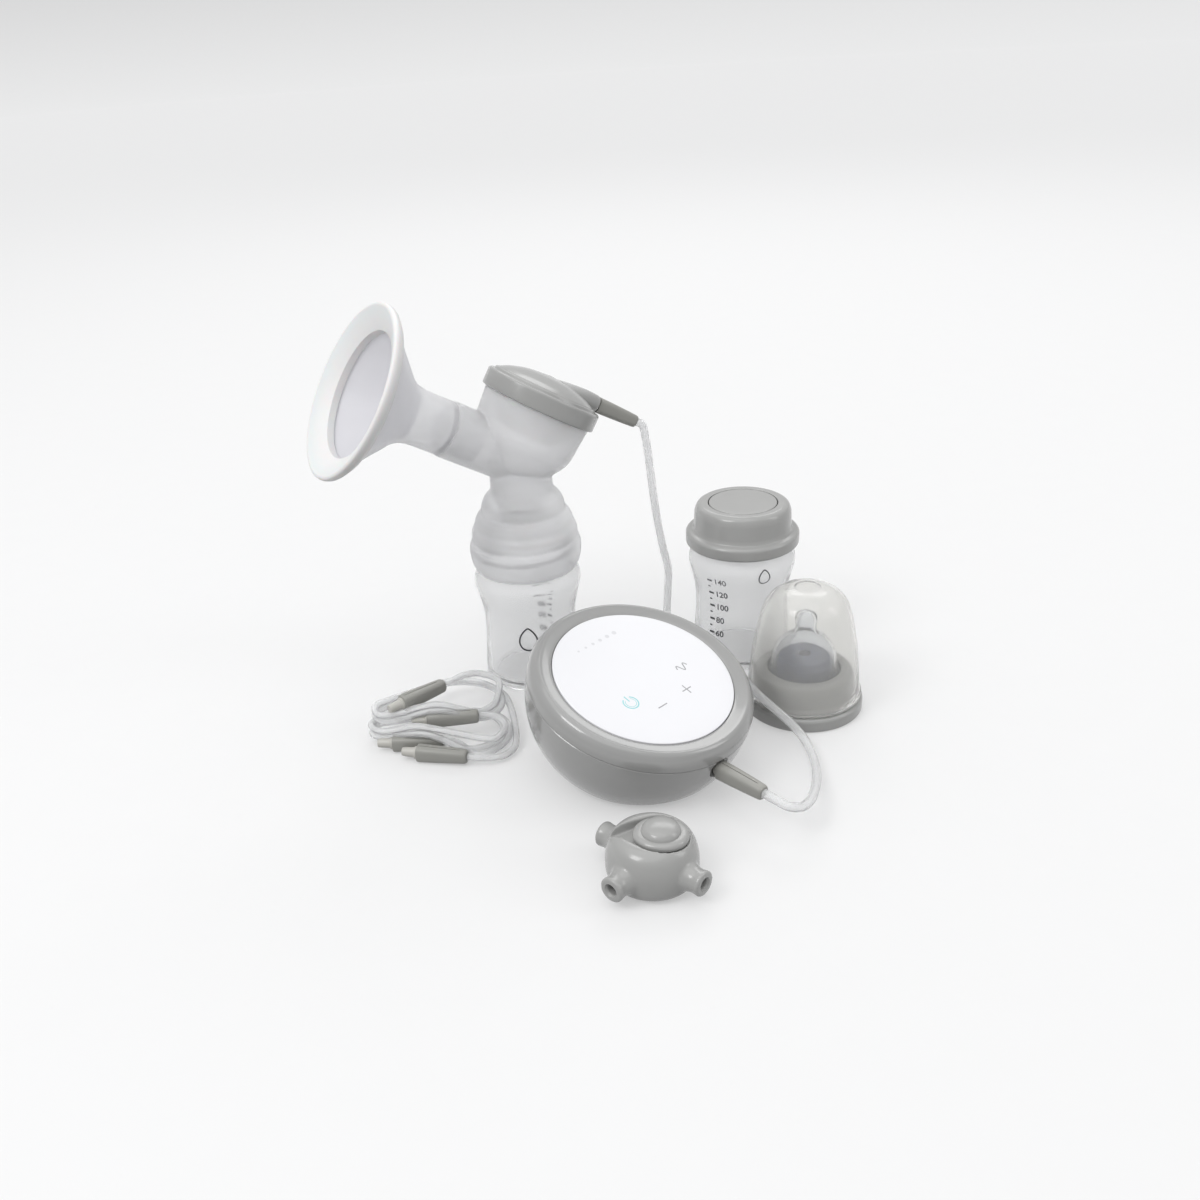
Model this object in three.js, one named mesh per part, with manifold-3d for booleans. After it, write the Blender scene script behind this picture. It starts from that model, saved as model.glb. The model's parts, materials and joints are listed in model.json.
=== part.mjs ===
// Electric breast pump set: touch-panel motor unit, pump kit on a feeding bottle, storage bottle,
// teat set, three-port tube splitter, air tube and a hank of spare tubing.
// Millimetres, +Z up. The origin is the centre of the motor unit's base pad, on the table.
import * as THREE from 'three';
import { mergeVertices } from 'three/addons/utils/BufferGeometryUtils.js';
import Module from 'manifold-3d';

const wasm = await Module();
wasm.setup();

// ---------------------------------------------------------------- driving dimensions
const GAP = 0.3; // clearance between parts that touch
const FINE = 20; // facets round a large turned part
const COARSE = 10; // facets round a small turned part

const UNIT = {
  radius: 58, depth: 58.5, power: 2.45, wall: 2.5, // bowl: r = radius (1 - (z/depth)^power)^(1/power)
  height: 47.8, tilt: 18, lowSide: -48.3, // widest ring's centre, lean and the way it leans
  panelRadius: 46.2, panelTop: 4, seam: -4, base: 1.5,
};
const PORT = { azimuth: -52, height: 20.3, face: 51.6, radius: 4.9, bore: 3.2 };
const PLUG = { length: 28, wide: 4.4, narrow: 3.5, nose: 2.8, noseLength: 8 };
const TUBE = { radius: 2.3, sides: 8 };
const KIT = { x: -53.4, y: 104.2, turn: 22.5, lean: 31 };
const CUP = { x: 13.1, z: 160, radius: 30.3, capRadius: 32.5, rim: 8.3, dome: 16.5 };
const TUNNEL = { height: 132.4, outer: 15.2, inner: 12.8, socketEnd: 48 };
const SKIRT = { bottom: 69.2, bore: 25.6, roof: 90 };
const BOTTLE = { bulge: 30.4, waist: 26, base: 27.6, neck: 24.6, shoulder: 68.4, top: 88, wall: 2 };
const COLLAR = { flange: 32, wall: 27.6, height: 23.75, opening: 19.5, roof: 19.3, bore: 25.6 };
const STORAGE = { x: 70.7, y: 111.2, collarZ: 71.3 };
const TEAT_SET = { x: 93.2, y: 46.4 };
const SPLITTER = {
  x: -6.5, y: -92, radius: 21.3, portHeight: 10.5, portBore: 2.6, reach: 29, ports: [135, 225, 315],
  knob: [4, -1], pointer: 165, pointerDip: 10,
};
const HANK = { thickness: 9 };

const COLOURS = {
  grey: 0xa9a8a4, greyDark: 0x8f8e89, white: 0xf1f1f2, clear: 0xe2e4e6, frosted: 0xcfd0d4,
  silicone: 0xf0f2f0, black: 0x2b2b2b, metal: 0xb9bcc0, board: 0x2f6b4a, brass: 0xb89a55, blue: 0x3b5f9a,
  vent: 0x8d99ab,
};

// ---------------------------------------------------------------- helpers
const radians = THREE.MathUtils.degToRad;

// The geometry as a manifold solid, with its faces turned outwards.
function solid(geometry) {
  const bare = geometry.clone();
  bare.deleteAttribute('normal');
  bare.deleteAttribute('uv');
  const merged = mergeVertices(bare, 1e-4);
  const vertices = merged.getAttribute('position').array;
  const index = merged.index.array;
  const corners = [];
  let volume = 0;
  const [a, b, c] = [new THREE.Vector3(), new THREE.Vector3(), new THREE.Vector3()];
  for (let i = 0; i < index.length; i += 3) {
    const triangle = [index[i], index[i + 1], index[i + 2]];
    if (new Set(triangle).size < 3) continue;
    corners.push(triangle);
    a.fromArray(vertices, 3 * triangle[0]);
    b.fromArray(vertices, 3 * triangle[1]);
    c.fromArray(vertices, 3 * triangle[2]);
    volume += a.dot(b.cross(c));
  }
  if (volume < 0) corners.forEach((triangle) => triangle.reverse());
  return new wasm.Manifold(new wasm.Mesh({
    numProp: 3, vertProperties: new Float32Array(vertices), triVerts: new Uint32Array(corners.flat()),
  }));
}

function geometryOf(manifold) {
  const mesh = manifold.getMesh();
  const geometry = new THREE.BufferGeometry();
  geometry.setAttribute('position', new THREE.BufferAttribute(mesh.vertProperties, 3));
  geometry.setIndex(new THREE.BufferAttribute(mesh.triVerts, 1));
  return geometry;
}

// A solid turned round +Z from [radius, height] points. A profile that starts and ends off the axis
// closes on itself.
function turned(profile, facets = FINE) {
  const points = profile.map(([r, z]) => new THREE.Vector2(r, z));
  const closesOnAxis = profile[0][0] === 0 && profile[profile.length - 1][0] === 0;
  if (!closesOnAxis) points.push(points[0].clone());
  const geometry = new THREE.LatheGeometry(points, facets);
  geometry.rotateX(Math.PI / 2);
  return solid(geometry);
}

const disc = (r, z0, z1, facets = FINE) => turned([[0, z0], [r, z0], [r, z1], [0, z1]], facets);
const ring = (inner, outer, z0, z1, facets = FINE) => (
  turned([[inner, z0], [outer, z0], [outer, z1], [inner, z1]], facets));

function box(x0, x1, y0, y1, z0, z1) {
  const geometry = new THREE.BoxGeometry(x1 - x0, y1 - y0, z1 - z0);
  geometry.translate((x0 + x1) / 2, (y0 + y1) / 2, (z0 + z1) / 2);
  return solid(geometry);
}

// A round tube along a smooth curve through the points, `steps` long and `sides` round.
function tubeAlong(points, radius, steps, sides = TUBE.sides) {
  const curve = new THREE.CatmullRomCurve3(points.map((p) => new THREE.Vector3(...p)), false, 'centripetal');
  const section = new THREE.Shape();
  for (let i = 0; i < sides; i += 1) {
    const angle = 2 * Math.PI * i / sides;
    const [x, y] = [radius * Math.cos(angle), radius * Math.sin(angle)];
    if (i === 0) section.moveTo(x, y);
    else section.lineTo(x, y);
  }
  section.closePath();
  return solid(new THREE.ExtrudeGeometry(section, { steps, extrudePath: curve }));
}

// A level slab whose outline wraps two circles, given as [x, y, radius], the second the larger.
function wrappedSlab([x0, y0, narrow], [x1, y1, wide], z0, z1) {
  const outline = new THREE.Shape();
  const heading = Math.atan2(y1 - y0, x1 - x0);
  const turn = Math.PI / 2 + Math.asin((wide - narrow) / Math.hypot(x1 - x0, y1 - y0));
  outline.absarc(x1, y1, wide, heading - turn, heading + turn, false);
  outline.absarc(x0, y0, narrow, heading + turn, heading + 2 * Math.PI - turn, false);
  const slab = new THREE.ExtrudeGeometry(outline, { depth: z1 - z0, bevelEnabled: false, curveSegments: 10 });
  slab.translate(0, 0, z0);
  return solid(slab);
}

// Manifold transforms take a column-major 4x4, as THREE.Matrix4 stores it.
const moved = (manifold, matrix) => manifold.transform(matrix.elements);
const shifted = (manifold, x, y, z) => manifold.translate([x, y, z]);
const turnZ = (degrees) => new THREE.Matrix4().makeRotationZ(radians(degrees));
// +Z swings towards +X by this angle.
const leanX = (degrees) => new THREE.Matrix4().makeRotationY(radians(degrees));

// A solid built round +Z, laid down to run along +X.
const laidAlongX = (manifold) => moved(manifold, leanX(90));

const part = new THREE.Group();

function add(group, name, manifold, color, roughness = 0.45, metalness = 0) {
  const material = new THREE.MeshStandardMaterial({ color, roughness, metalness });
  const mesh = new THREE.Mesh(geometryOf(manifold), material);
  mesh.name = name;
  group.add(mesh);
  return mesh;
}

// ---------------------------------------------------------------- motor unit: shells
const leanAxis = new THREE.Vector3(-Math.sin(radians(UNIT.lowSide)), Math.cos(radians(UNIT.lowSide)), 0);
const unit = new THREE.Group();
unit.position.set(0, 0, UNIT.height);
unit.quaternion.setFromAxisAngle(leanAxis, radians(UNIT.tilt));
unit.updateMatrix();
part.add(unit);
const intoUnit = unit.matrix.clone().invert();
const inUnit = (manifold) => moved(manifold, intoUnit);

function bowlPoints(inset, from, count) {
  const [radius, depth] = [UNIT.radius - inset, UNIT.depth - inset];
  const points = [];
  for (let i = 0; i <= count; i += 1) {
    const z = from - (depth + from) * Math.sin((Math.PI / 2) * (i / count)) ** 1.15;
    const r = radius * Math.max(0, 1 - (-z / depth) ** UNIT.power) ** (1 / UNIT.power);
    points.push([i === count ? 0 : r, z]);
  }
  return points;
}

const radial = (azimuth, distance) => [
  distance * Math.cos(radians(azimuth)), distance * Math.sin(radians(azimuth))];
// +Z of a solid laid along a level line of this azimuth, starting `distance` from the origin's axis.
function along(azimuth, distance, height) {
  const [x, y] = radial(azimuth, distance);
  return new THREE.Matrix4().makeTranslation(x, y, height)
    .multiply(turnZ(azimuth)).multiply(leanX(90));
}

const bowlTop = UNIT.seam - GAP;
const bowl = turned([...bowlPoints(0, bowlTop, 11), ...bowlPoints(UNIT.wall, bowlTop, 10).reverse()]);
const belowBase = inUnit(box(-90, 90, -90, 90, -80, UNIT.base));
const portHole = inUnit(moved(disc(PORT.radius + GAP, 38, 70, COARSE), along(PORT.azimuth, 0, PORT.height)));
const socketHole = inUnit(moved(box(-4.3, 4.3, -6.3, 6.3, 40, 80), along(UNIT.lowSide + 180, 0, 24)));
add(unit, 'lower_housing', bowl.subtract(belowBase).subtract(portHole).subtract(socketHole), COLOURS.grey);

const { panelRadius, panelTop, seam } = UNIT;
add(unit, 'top_bezel', turned([
  [panelRadius + 0.4, 0.9], [panelRadius + 0.4, panelTop - 0.4], [panelRadius + 1.6, panelTop + 0.3],
  [51.2, panelTop + 0.8], [54, panelTop + 0.1], [56.2, 2.2], [57.5, 0], [58, -3], [57.9, seam],
  [55.5, seam], [55.2, -2.4], [53.2, 0.2], [50.5, 1.2], [48.2, -0.7], [43, -0.7], [43, 0.9],
]), COLOURS.grey);
add(unit, 'touch_panel', turned([
  [0, 1.2], [panelRadius, 1.2], [panelRadius, panelTop - 0.5], [panelRadius - 0.5, panelTop], [0, panelTop + 0.2],
]), COLOURS.white, 0.2);
add(unit, 'housing_seal', ring(52.6, 54.2, seam - 1.2, seam + 0.4), COLOURS.black, 0.8);
add(unit, 'circuit_board', disc(38, -7.4, -5.8), COLOURS.board);

// ---------------------------------------------------------------- motor unit: base and works
const screwPlaces = [0, 120, 240].map((azimuth) => radial(azimuth, 27));
let basePlate = disc(33.4, UNIT.base, 4.5);
let frame = disc(36, 8, 10, 24);
for (const [x, y] of screwPlaces) {
  basePlate = basePlate.subtract(shifted(disc(3.3, 0, 3.4, 12), x, y, 0));
  basePlate = basePlate.subtract(shifted(disc(1.7, 0, 6, 12), x, y, 0));
  frame = frame.add(shifted(disc(3.8, 4.8, 9, 12), x, y, 0));
}
for (const [x, y] of screwPlaces) frame = frame.subtract(shifted(disc(1.7, 4, 12, 12), x, y, 0));
add(part, 'base_plate', basePlate, COLOURS.grey);
add(part, 'base_pad', disc(38, 0, 1.2), COLOURS.greyDark, 0.8);
add(part, 'inner_frame', frame, COLOURS.frosted);
screwPlaces.forEach(([x, y], i) => {
  const screw = disc(3, 1.6, 3.1, 12).add(disc(1.4, 3, 9.6, 12));
  add(part, `base_screw_${i + 1}`, shifted(screw, x, y, 0), COLOURS.metal, 0.35, 1);
});

// The works stand square to the lean: +X across it, +Y towards the high side.
const works = new THREE.Group();
works.rotation.z = radians(UNIT.lowSide + 90);
part.add(works);
const alongX = (manifold, x, y, z) => shifted(laidAlongX(manifold), x, y, z);
const MOTOR = { y: -6, z: 22.4, radius: 11.8, back: -32, front: -2 };

add(works, 'battery_cell', alongX(disc(9.2, -33, 33, 24), 0, 24, 19.6), COLOURS.blue);
add(works, 'dc_motor', alongX(
  disc(MOTOR.radius, MOTOR.back, MOTOR.front, 24).subtract(disc(2.2, MOTOR.front - 4, 5, 12)), 0, MOTOR.y, MOTOR.z,
), COLOURS.metal, 0.35, 1);
const cam = shifted(disc(5.5, 0.6, 5.6, COARSE), 1.2, 0, 0).add(disc(1.6, MOTOR.front - 3.4, 1, 12));
add(works, 'drive_cam', alongX(cam, 0, MOTOR.y, MOTOR.z), COLOURS.brass, 0.4, 1);
const crankcase = box(0, 24, -18, 6, 10.4, 33);
const camSpace = alongX(disc(8, -1, 8, 24), 0, MOTOR.y, MOTOR.z);
add(works, 'pump_head', crankcase.subtract(camSpace), COLOURS.greyDark);
add(works, 'pump_diaphragm', alongX(disc(10.5, 24.3, 25.7, 24), 0, MOTOR.y, MOTOR.z), COLOURS.black, 0.8);
const nozzle = moved(disc(1.8, 0, 8, 12), new THREE.Matrix4().makeRotationX(Math.PI / 2));
add(works, 'pump_cap', box(26, 33, -18, 6, 10.4, 33).add(shifted(nozzle, 29.5, -16, MOTOR.z)), COLOURS.greyDark);
add(works, 'release_valve', alongX(ring(2.3, 5.2, -31, -15, COARSE), 0, -26, 16), COLOURS.metal, 0.4, 1);
add(works, 'valve_plunger', alongX(disc(2, -26, -12, 12), 0, -26, 16), COLOURS.brass, 0.4, 1);
const hoseStart = [29.5, -24.4, MOTOR.z];
const hoseEnd = radial(PORT.azimuth - UNIT.lowSide - 90, 38.2);
const hoseBeforeEnd = radial(PORT.azimuth - UNIT.lowSide - 90, 34);
add(works, 'inner_air_hose', tubeAlong([
  hoseStart, [29.3, -27.5, MOTOR.z], [25, -31, MOTOR.z], [14, -30.5, 22], [4, -30, 22],
  [...hoseBeforeEnd, PORT.height], [...hoseEnd, PORT.height],
], 2.4, 22), COLOURS.frosted);

// Sockets in the housing wall.
const airPort = disc(PORT.radius, 41, PORT.face - 0.6, COARSE).add(disc(2, 38.5, 42, 12))
  .subtract(disc(PORT.bore, PORT.face - 8.6, 60, 16)).subtract(disc(0.9, 30, 60, 8));
add(part, 'air_port', moved(airPort, along(PORT.azimuth, 0, PORT.height)), COLOURS.greyDark);
const chargingSocket = box(-4, 4, -6, 6, 46, 55).subtract(box(-1.6, 1.6, -4.5, 4.5, 49, 60));
add(part, 'charging_socket', moved(chargingSocket, along(UNIT.lowSide + 180, 0, 24)), COLOURS.black);

// ---------------------------------------------------------------- bottles, collars and teat
// A bottle on its base, open at the top.
function bottle() {
  const { bulge, waist, base, neck, shoulder, top, wall } = BOTTLE;
  return turned([
    [0, 1.2], [21, 1.2], [22.5, 0], [25.6, 0], [base - 0.3, 1.8], [base, 6], [waist + 0.7, 20], [waist, 34],
    [waist + 0.6, 44], [bulge - 1.6, 54], [bulge, 60.5], [bulge - 0.5, 65], [shoulder - 40.4, shoulder],
    [neck, shoulder + 0.9], [neck, top],
    [neck - wall, top], [neck - wall, shoulder - 1], [bulge - wall - 0.8, 63], [bulge - wall, 59.5],
    [waist + 0.6 - wall, 46], [waist - wall, 34], [base - wall - 0.4, 6], [23, 3.2], [0, 3.4],
  ]);
}

// The screw collar, standing on its flange.
function collar() {
  const { flange, wall, height, opening, roof, bore } = COLLAR;
  return turned([
    [bore + 2.6, 0], [flange - 0.6, 0], [flange, 0.8], [flange, 6.6], [flange - 0.9, 7.7], [wall + 0.5, 8.2],
    [wall, 10], [wall - 0.6, 20], [wall - 1.8, 22.6], [wall - 4.2, height], [opening, height], [opening, roof],
    [bore, roof], [bore, 2.5],
  ]);
}

const storage = new THREE.Group();
storage.position.set(STORAGE.x, STORAGE.y, 0);
part.add(storage);
add(storage, 'storage_bottle', bottle(), COLOURS.clear, 0.15);
const lid = new THREE.Group();
lid.position.z = STORAGE.collarZ;
storage.add(lid);
add(lid, 'storage_collar', collar(), COLOURS.grey);
add(lid, 'storage_disc', disc(24.8, 17, COLLAR.roof - GAP).add(
  disc(COLLAR.opening - 0.4, 18, COLLAR.height + 0.2),
), COLOURS.grey);

const teatSet = new THREE.Group();
teatSet.position.set(TEAT_SET.x, TEAT_SET.y, 0);
part.add(teatSet);
add(teatSet, 'teat_collar', collar(), COLOURS.grey);
add(teatSet, 'teat', turned([
  [17.6, 17], [24.8, 17], [24.8, COLLAR.roof - GAP], [19.1, COLLAR.roof - GAP], [19.1, 23], [18, 24.4],
  [17.7, 27], [17.2, 31], [15.2, 36.5], [11, 41.3], [6.6, 44], [5.4, 46.4], [5.5, 50], [6, 52.6],
  [5, 55], [2.6, 56.4], [0, 56.8],
  [0, 55.2], [2, 54.8], [4.2, 52.2], [3.9, 46.6], [5.6, 43], [9.8, 40.2], [13.8, 35.6], [15.7, 30.6],
  [16.2, 26], [16.6, 23.6], [17.6, 22],
]), COLOURS.silicone, 0.25);
add(teatSet, 'teat_vent', turned([
  [13.2, 17], [17.3, 17], [17.3, 18.4], [15.3, 18.8], [15.3, 26.8], [13.4, 30.4], [3.2, 31.2],
  [3.2, 29.8], [12.6, 29], [13.9, 26.2], [13.9, 18.4],
]), COLOURS.vent, 0.4);
add(teatSet, 'dome_cover', turned([
  [28.1, 8.6], [31, 8.6], [31, 11], [29.7, 12.6], [29.3, 20], [28.2, 32], [26.6, 43], [24.6, 53], [22, 61],
  [19, 65.6], [14, 69.2], [8, 70.8], [0, 71.2],
  [0, 69.8], [8, 69.4], [13.4, 67.9], [18, 64.6], [20.8, 60.3], [23.3, 52.6], [25.3, 42.7], [26.9, 31.8], [28.1, 20],
]), COLOURS.clear, 0.1);

// ---------------------------------------------------------------- pump kit
const kit = new THREE.Group();
kit.position.set(KIT.x, KIT.y, 0);
kit.rotation.z = radians(KIT.turn);
part.add(kit);
add(kit, 'feeding_bottle', bottle(), COLOURS.clear, 0.15);
add(kit, 'bottle_seal_ring', ring(21.6, 24.4, BOTTLE.top + GAP, BOTTLE.top + 1.5), COLOURS.silicone, 0.5);

// Cup frame: its axis leans away from the shield, and the cap's rim stands on its origin.
const cupPlace = new THREE.Matrix4().makeTranslation(CUP.x, 0, CUP.z).multiply(leanX(KIT.lean));
// Tunnel frame: +Z runs out of the shield's mouth, from the neck's axis.
const tunnelPlace = new THREE.Matrix4().makeTranslation(0, 0, TUNNEL.height).multiply(leanX(KIT.lean - 90));
const inCup = (manifold) => moved(manifold, cupPlace);
const inTunnel = (manifold) => moved(manifold, tunnelPlace);

function cupProfile(inset) {
  const r = CUP.radius - inset;
  return [[0, -41 + inset], [12, -40 + inset], [20, -34.6 + inset], [r - 4, -26.5 + inset / 2], [r - 1.7, -21],
    [r - 0.9, -10], [r, -0.4]];
}
const skirtOuter = [[28.4, SKIRT.bottom], [30.9, 74], [31.6, 80], [30.8, 85], [29.3, 87.6], [29, 92], [27, 97.5],
  [23.4, 102], [23.1, 106], [21.3, 111], [17.2, 115.4]];
const bodyOuter = turned([[0, SKIRT.bottom], ...skirtOuter, [17.2, 133], [0, 133]])
  .add(inCup(turned([...cupProfile(0), [0, -0.4]])))
  .add(inTunnel(disc(TUNNEL.outer, 0, TUNNEL.socketEnd)));
const cupSpace = inCup(turned([...cupProfile(2.2), [CUP.radius - 2.2, 5], [0, 5]]));
const skirtSpace = turned([[0, 60], [26.6, 60], [26.6, 71], [SKIRT.bore, 72], [SKIRT.bore, SKIRT.roof],
  [24, 96], [20, 102], [0, 102]]);
const neckSpace = turned([[0, 106], [13, 106], [14.8, 110], [14.8, 133], [0, 133]]);
const stem = ring(3.4, 6, 94, 104, COARSE);
const bodyHole = disc(3.4, 90, 110, COARSE);
add(kit, 'pump_body', bodyOuter.subtract(cupSpace).subtract(skirtSpace).subtract(neckSpace)
  .subtract(inTunnel(disc(TUNNEL.inner, 14, 70))).subtract(bodyHole).add(stem), COLOURS.frosted, 0.35);
add(kit, 'duckbill_valve', turned([
  [6.3, 100.5], [8, 100.5], [8, 92], [6.4, 90], [2, 79], [0, 78.6],
  [0, 81], [1, 81.4], [5, 90.5], [6.3, 92],
], COARSE), COLOURS.silicone, 0.5);

const capPlace = new THREE.Group();
capPlace.applyMatrix4(cupPlace);
kit.add(capPlace);
const { capRadius, rim, dome } = CUP;
const capShell = turned([
  [CUP.radius + 0.4, -1.4], [capRadius - 0.4, -1.4], [capRadius, -0.8], [capRadius, rim - 0.8],
  [capRadius - 0.6, rim], [30, rim + 0.5], [28.6, rim + 1.6], [23, rim + 4.2], [14, rim + 7], [0, dome],
  [0, dome - 2.2], [13.6, rim + 4.8], [22.4, rim + 2.1], [28.6, rim - 1.8], [CUP.radius + 0.4, rim - 2.6],
]);
// A boss on the cap's low side carries the plug, level with the cap's rim.
const SPOUT = { height: 12.6, from: 18, to: 32.4, radius: 4.6 };
const spoutAxis = shifted(laidAlongX(disc(SPOUT.radius, SPOUT.from, SPOUT.to, 16)), 0, 0, SPOUT.height);
const spoutBore = shifted(laidAlongX(disc(PORT.bore, SPOUT.to - 9, SPOUT.to + 5, 16)), 0, 0, SPOUT.height);
const spoutDuct = shifted(laidAlongX(disc(1, 4, SPOUT.to, 8)), 0, 0, SPOUT.height);
const capHollow = turned([
  [0, 0], [28.4, 0], [28.4, rim - 1.9], [22.3, rim + 2], [13.5, rim + 4.7], [0, dome - 2.3],
]);
add(capPlace, 'kit_cap', capShell.add(spoutAxis.subtract(capHollow)).subtract(spoutBore).subtract(spoutDuct),
  COLOURS.grey);
add(capPlace, 'pump_membrane', turned([
  [0, -17.4], [17, -17], [24.5, -3], [26, 0.2], [29.6, 0.2], [29.6, 1.7], [25, 1.7], [23, -1.6], [16.2, -15.4],
  [0, -15.8],
]), COLOURS.silicone, 0.5);

const shieldPlace = new THREE.Group();
shieldPlace.applyMatrix4(tunnelPlace);
kit.add(shieldPlace);
add(shieldPlace, 'breast_shield', turned([
  [10.6, 30], [12.4, 30], [12.4, TUNNEL.socketEnd + GAP], [14.3, TUNNEL.socketEnd + GAP], [14.3, 68],
  [15.4, 72], [18.4, 76], [28.5, 86.2], [37, 94.7], [44.6, 102.1],
  [43.3, 103.3], [35.7, 96], [27.2, 87.5], [17, 77.4], [13.6, 72.8], [12.4, 67], [12.4, 50], [10.6, 47.4],
]), COLOURS.frosted, 0.3);
add(shieldPlace, 'shield_cushion', turned([
  [33.7, 98.9], [33.4, 95], [34.6, 95.3], [43, 103.7], [44, 103.9], [45.2, 102.6], [45, 101.8], [41.8, 98.6],
  [42.8, 97.6], [46.2, 100.4], [46.9, 102.6], [46.6, 104.1], [45.4, 104.7], [40, 102.6],
]), COLOURS.silicone, 0.5);

// ---------------------------------------------------------------- splitter
const splitter = new THREE.Group();
splitter.position.set(SPLITTER.x, SPLITTER.y, 0);
part.add(splitter);
const portPlace = (azimuth) => new THREE.Matrix4().makeTranslation(0, 0, SPLITTER.portHeight)
  .multiply(turnZ(azimuth)).multiply(leanX(90));
let hub = turned([
  [0, 0.4], [16.4, 0.4], [19.6, 1.8], [21, 5], [SPLITTER.radius, 10], [20.9, 15], [19.6, 19.6], [17.4, 22.9],
  [14, 25], [0, 25.6],
]);
const flaredPort = turned([
  [0, 10], [10, 14.5], [6.4, 21.5], [5.5, 24.5], [6.2, SPLITTER.reach - 0.7], [5.8, SPLITTER.reach],
  [0, SPLITTER.reach],
], COARSE);
for (const azimuth of SPLITTER.ports) hub = hub.add(moved(flaredPort, portPlace(azimuth)));
// The knob stands off the hub's centre. Its recess runs down to a point on one side.
const [knobX, knobY] = SPLITTER.knob;
const pointer = moved(wrappedSlab([23, 0, 1], [0, 0, 12.6], 0, 9), leanX(SPLITTER.pointerDip));
const knobSeat = shifted(disc(13.1, 22, 30), knobX, knobY, 0);
const chamber = disc(10, 2, 17, COARSE).add(disc(3.3, 10, 30, COARSE));
hub = hub.subtract(shifted(moved(pointer, turnZ(SPLITTER.pointer)), knobX, knobY, 22.6)).subtract(knobSeat)
  .subtract(shifted(chamber, knobX, knobY, 0)).subtract(disc(17.4, -1, 2.8));
for (const azimuth of SPLITTER.ports) {
  hub = hub.subtract(moved(disc(SPLITTER.portBore, 5, 40, 12), portPlace(azimuth)));
}
add(splitter, 'splitter_body', hub, COLOURS.grey);
add(splitter, 'splitter_base', disc(17, 0, 2.5, FINE), COLOURS.greyDark);
const selector = new THREE.Group();
selector.position.set(knobX, knobY, 0);
selector.rotation.z = radians(SPLITTER.pointer);
splitter.add(selector);
add(selector, 'selector_rotor', disc(9.1, 3, 16.6, COARSE)
  .subtract(shifted(laidAlongX(disc(2, -20, 20, COARSE)), 0, 0, SPLITTER.portHeight))
  .subtract(disc(2.3, 14, 18, 12)), COLOURS.frosted);
const knob = turned([
  [0, 22.4], [10.4, 22.4], [10.9, 23.4], [10.4, 25.2], [9.2, 26.2], [8.7, 27.2], [7.2, 28.8], [4, 29.7], [0, 30],
]).scale([1.156, 1.046, 1]);
add(selector, 'selector_knob', knob.add(disc(2, 15, 23, 12)), COLOURS.grey);

// ---------------------------------------------------------------- air tube and its plugs
// A plug: its nose runs down from the origin, its body up, and the tube leaves the top.
function plug() {
  const { length, wide, narrow, nose, noseLength } = PLUG;
  return turned([
    [0, -noseLength], [nose - 0.5, -noseLength], [nose, -2], [nose, 0], [wide - 0.5, 0.2], [wide, 1],
    [narrow, length - 0.6], [narrow - 0.4, length], [0, length],
  ], 12);
}
const portPlugPlace = along(PORT.azimuth, PORT.face + 0.5, PORT.height);
const kitPlace = new THREE.Matrix4().makeTranslation(KIT.x, KIT.y, 0).multiply(turnZ(KIT.turn));
const capPlugPlace = kitPlace.clone().multiply(cupPlace)
  .multiply(new THREE.Matrix4().makeTranslation(SPOUT.to + 0.4, 0, SPOUT.height)).multiply(leanX(90));
add(part, 'tube_plug_port', moved(plug(), portPlugPlace), COLOURS.grey);
add(part, 'tube_plug_cap', moved(plug(), capPlugPlace), COLOURS.grey);

function pointOn(place, height) {
  return new THREE.Vector3(0, 0, height).applyMatrix4(place).toArray();
}
// The tube leaves the port plug, lies round the front of the teat set, passes behind the motor unit
// and hangs from the cap's plug.
const tubeRoute = [
  pointOn(portPlugPlace, PLUG.length + GAP), pointOn(portPlugPlace, PLUG.length + 7),
  [58.4, -72.2, 19], [64.6, -70.6, 16.6], [70.6, -63, 13.6], [76, -51, 10.4], [80.6, -37.5, 7.2], [83.6, -24, 4.8],
  [84.9, -10, 4.2], [83.2, 2.4, 6.2], [78.8, 11, 9.4], [72.4, 17.2, 14], [65.2, 24.8, 18.8], [60.4, 34, 21.6],
  [57.8, 44.4, 22.2], [56.2, 56, 20.4], [53.8, 68, 16.8], [49.6, 83.4, 10.8], [42.4, 99, 5.4], [36, 112, 3.4],
  [31.6, 121.6, 6], [29.6, 129, 14], [30.4, 133, 28], [31, 134, 45], [28, 134.3, 60], [24.6, 134.3, 80],
  [22.4, 134.3, 98], [20.8, 134.1, 113], [19.2, 133.8, 126],
  pointOn(capPlugPlace, PLUG.length + 5), pointOn(capPlugPlace, PLUG.length + GAP),
];
add(part, 'air_tube', tubeAlong(tubeRoute, TUBE.radius, 60), COLOURS.clear, 0.15);

// ---------------------------------------------------------------- spare tubing: two hanks and their plugs
const lying = (x, y, z, azimuth) => new THREE.Matrix4().makeTranslation(x, y, z)
  .multiply(turnZ(azimuth)).multiply(leanX(90));
const onTop = 2 * HANK.thickness + PLUG.wide + GAP;
const between = HANK.thickness + PLUG.wide + 0.5;
const sparePlugs = [
  lying(-126, 36, onTop, 38), lying(-113, 33, between, 0), lying(-118.5, 16, PLUG.wide + 0.2, -15),
  lying(-132, 26.5, PLUG.wide + 0.2, -6),
];
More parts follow.
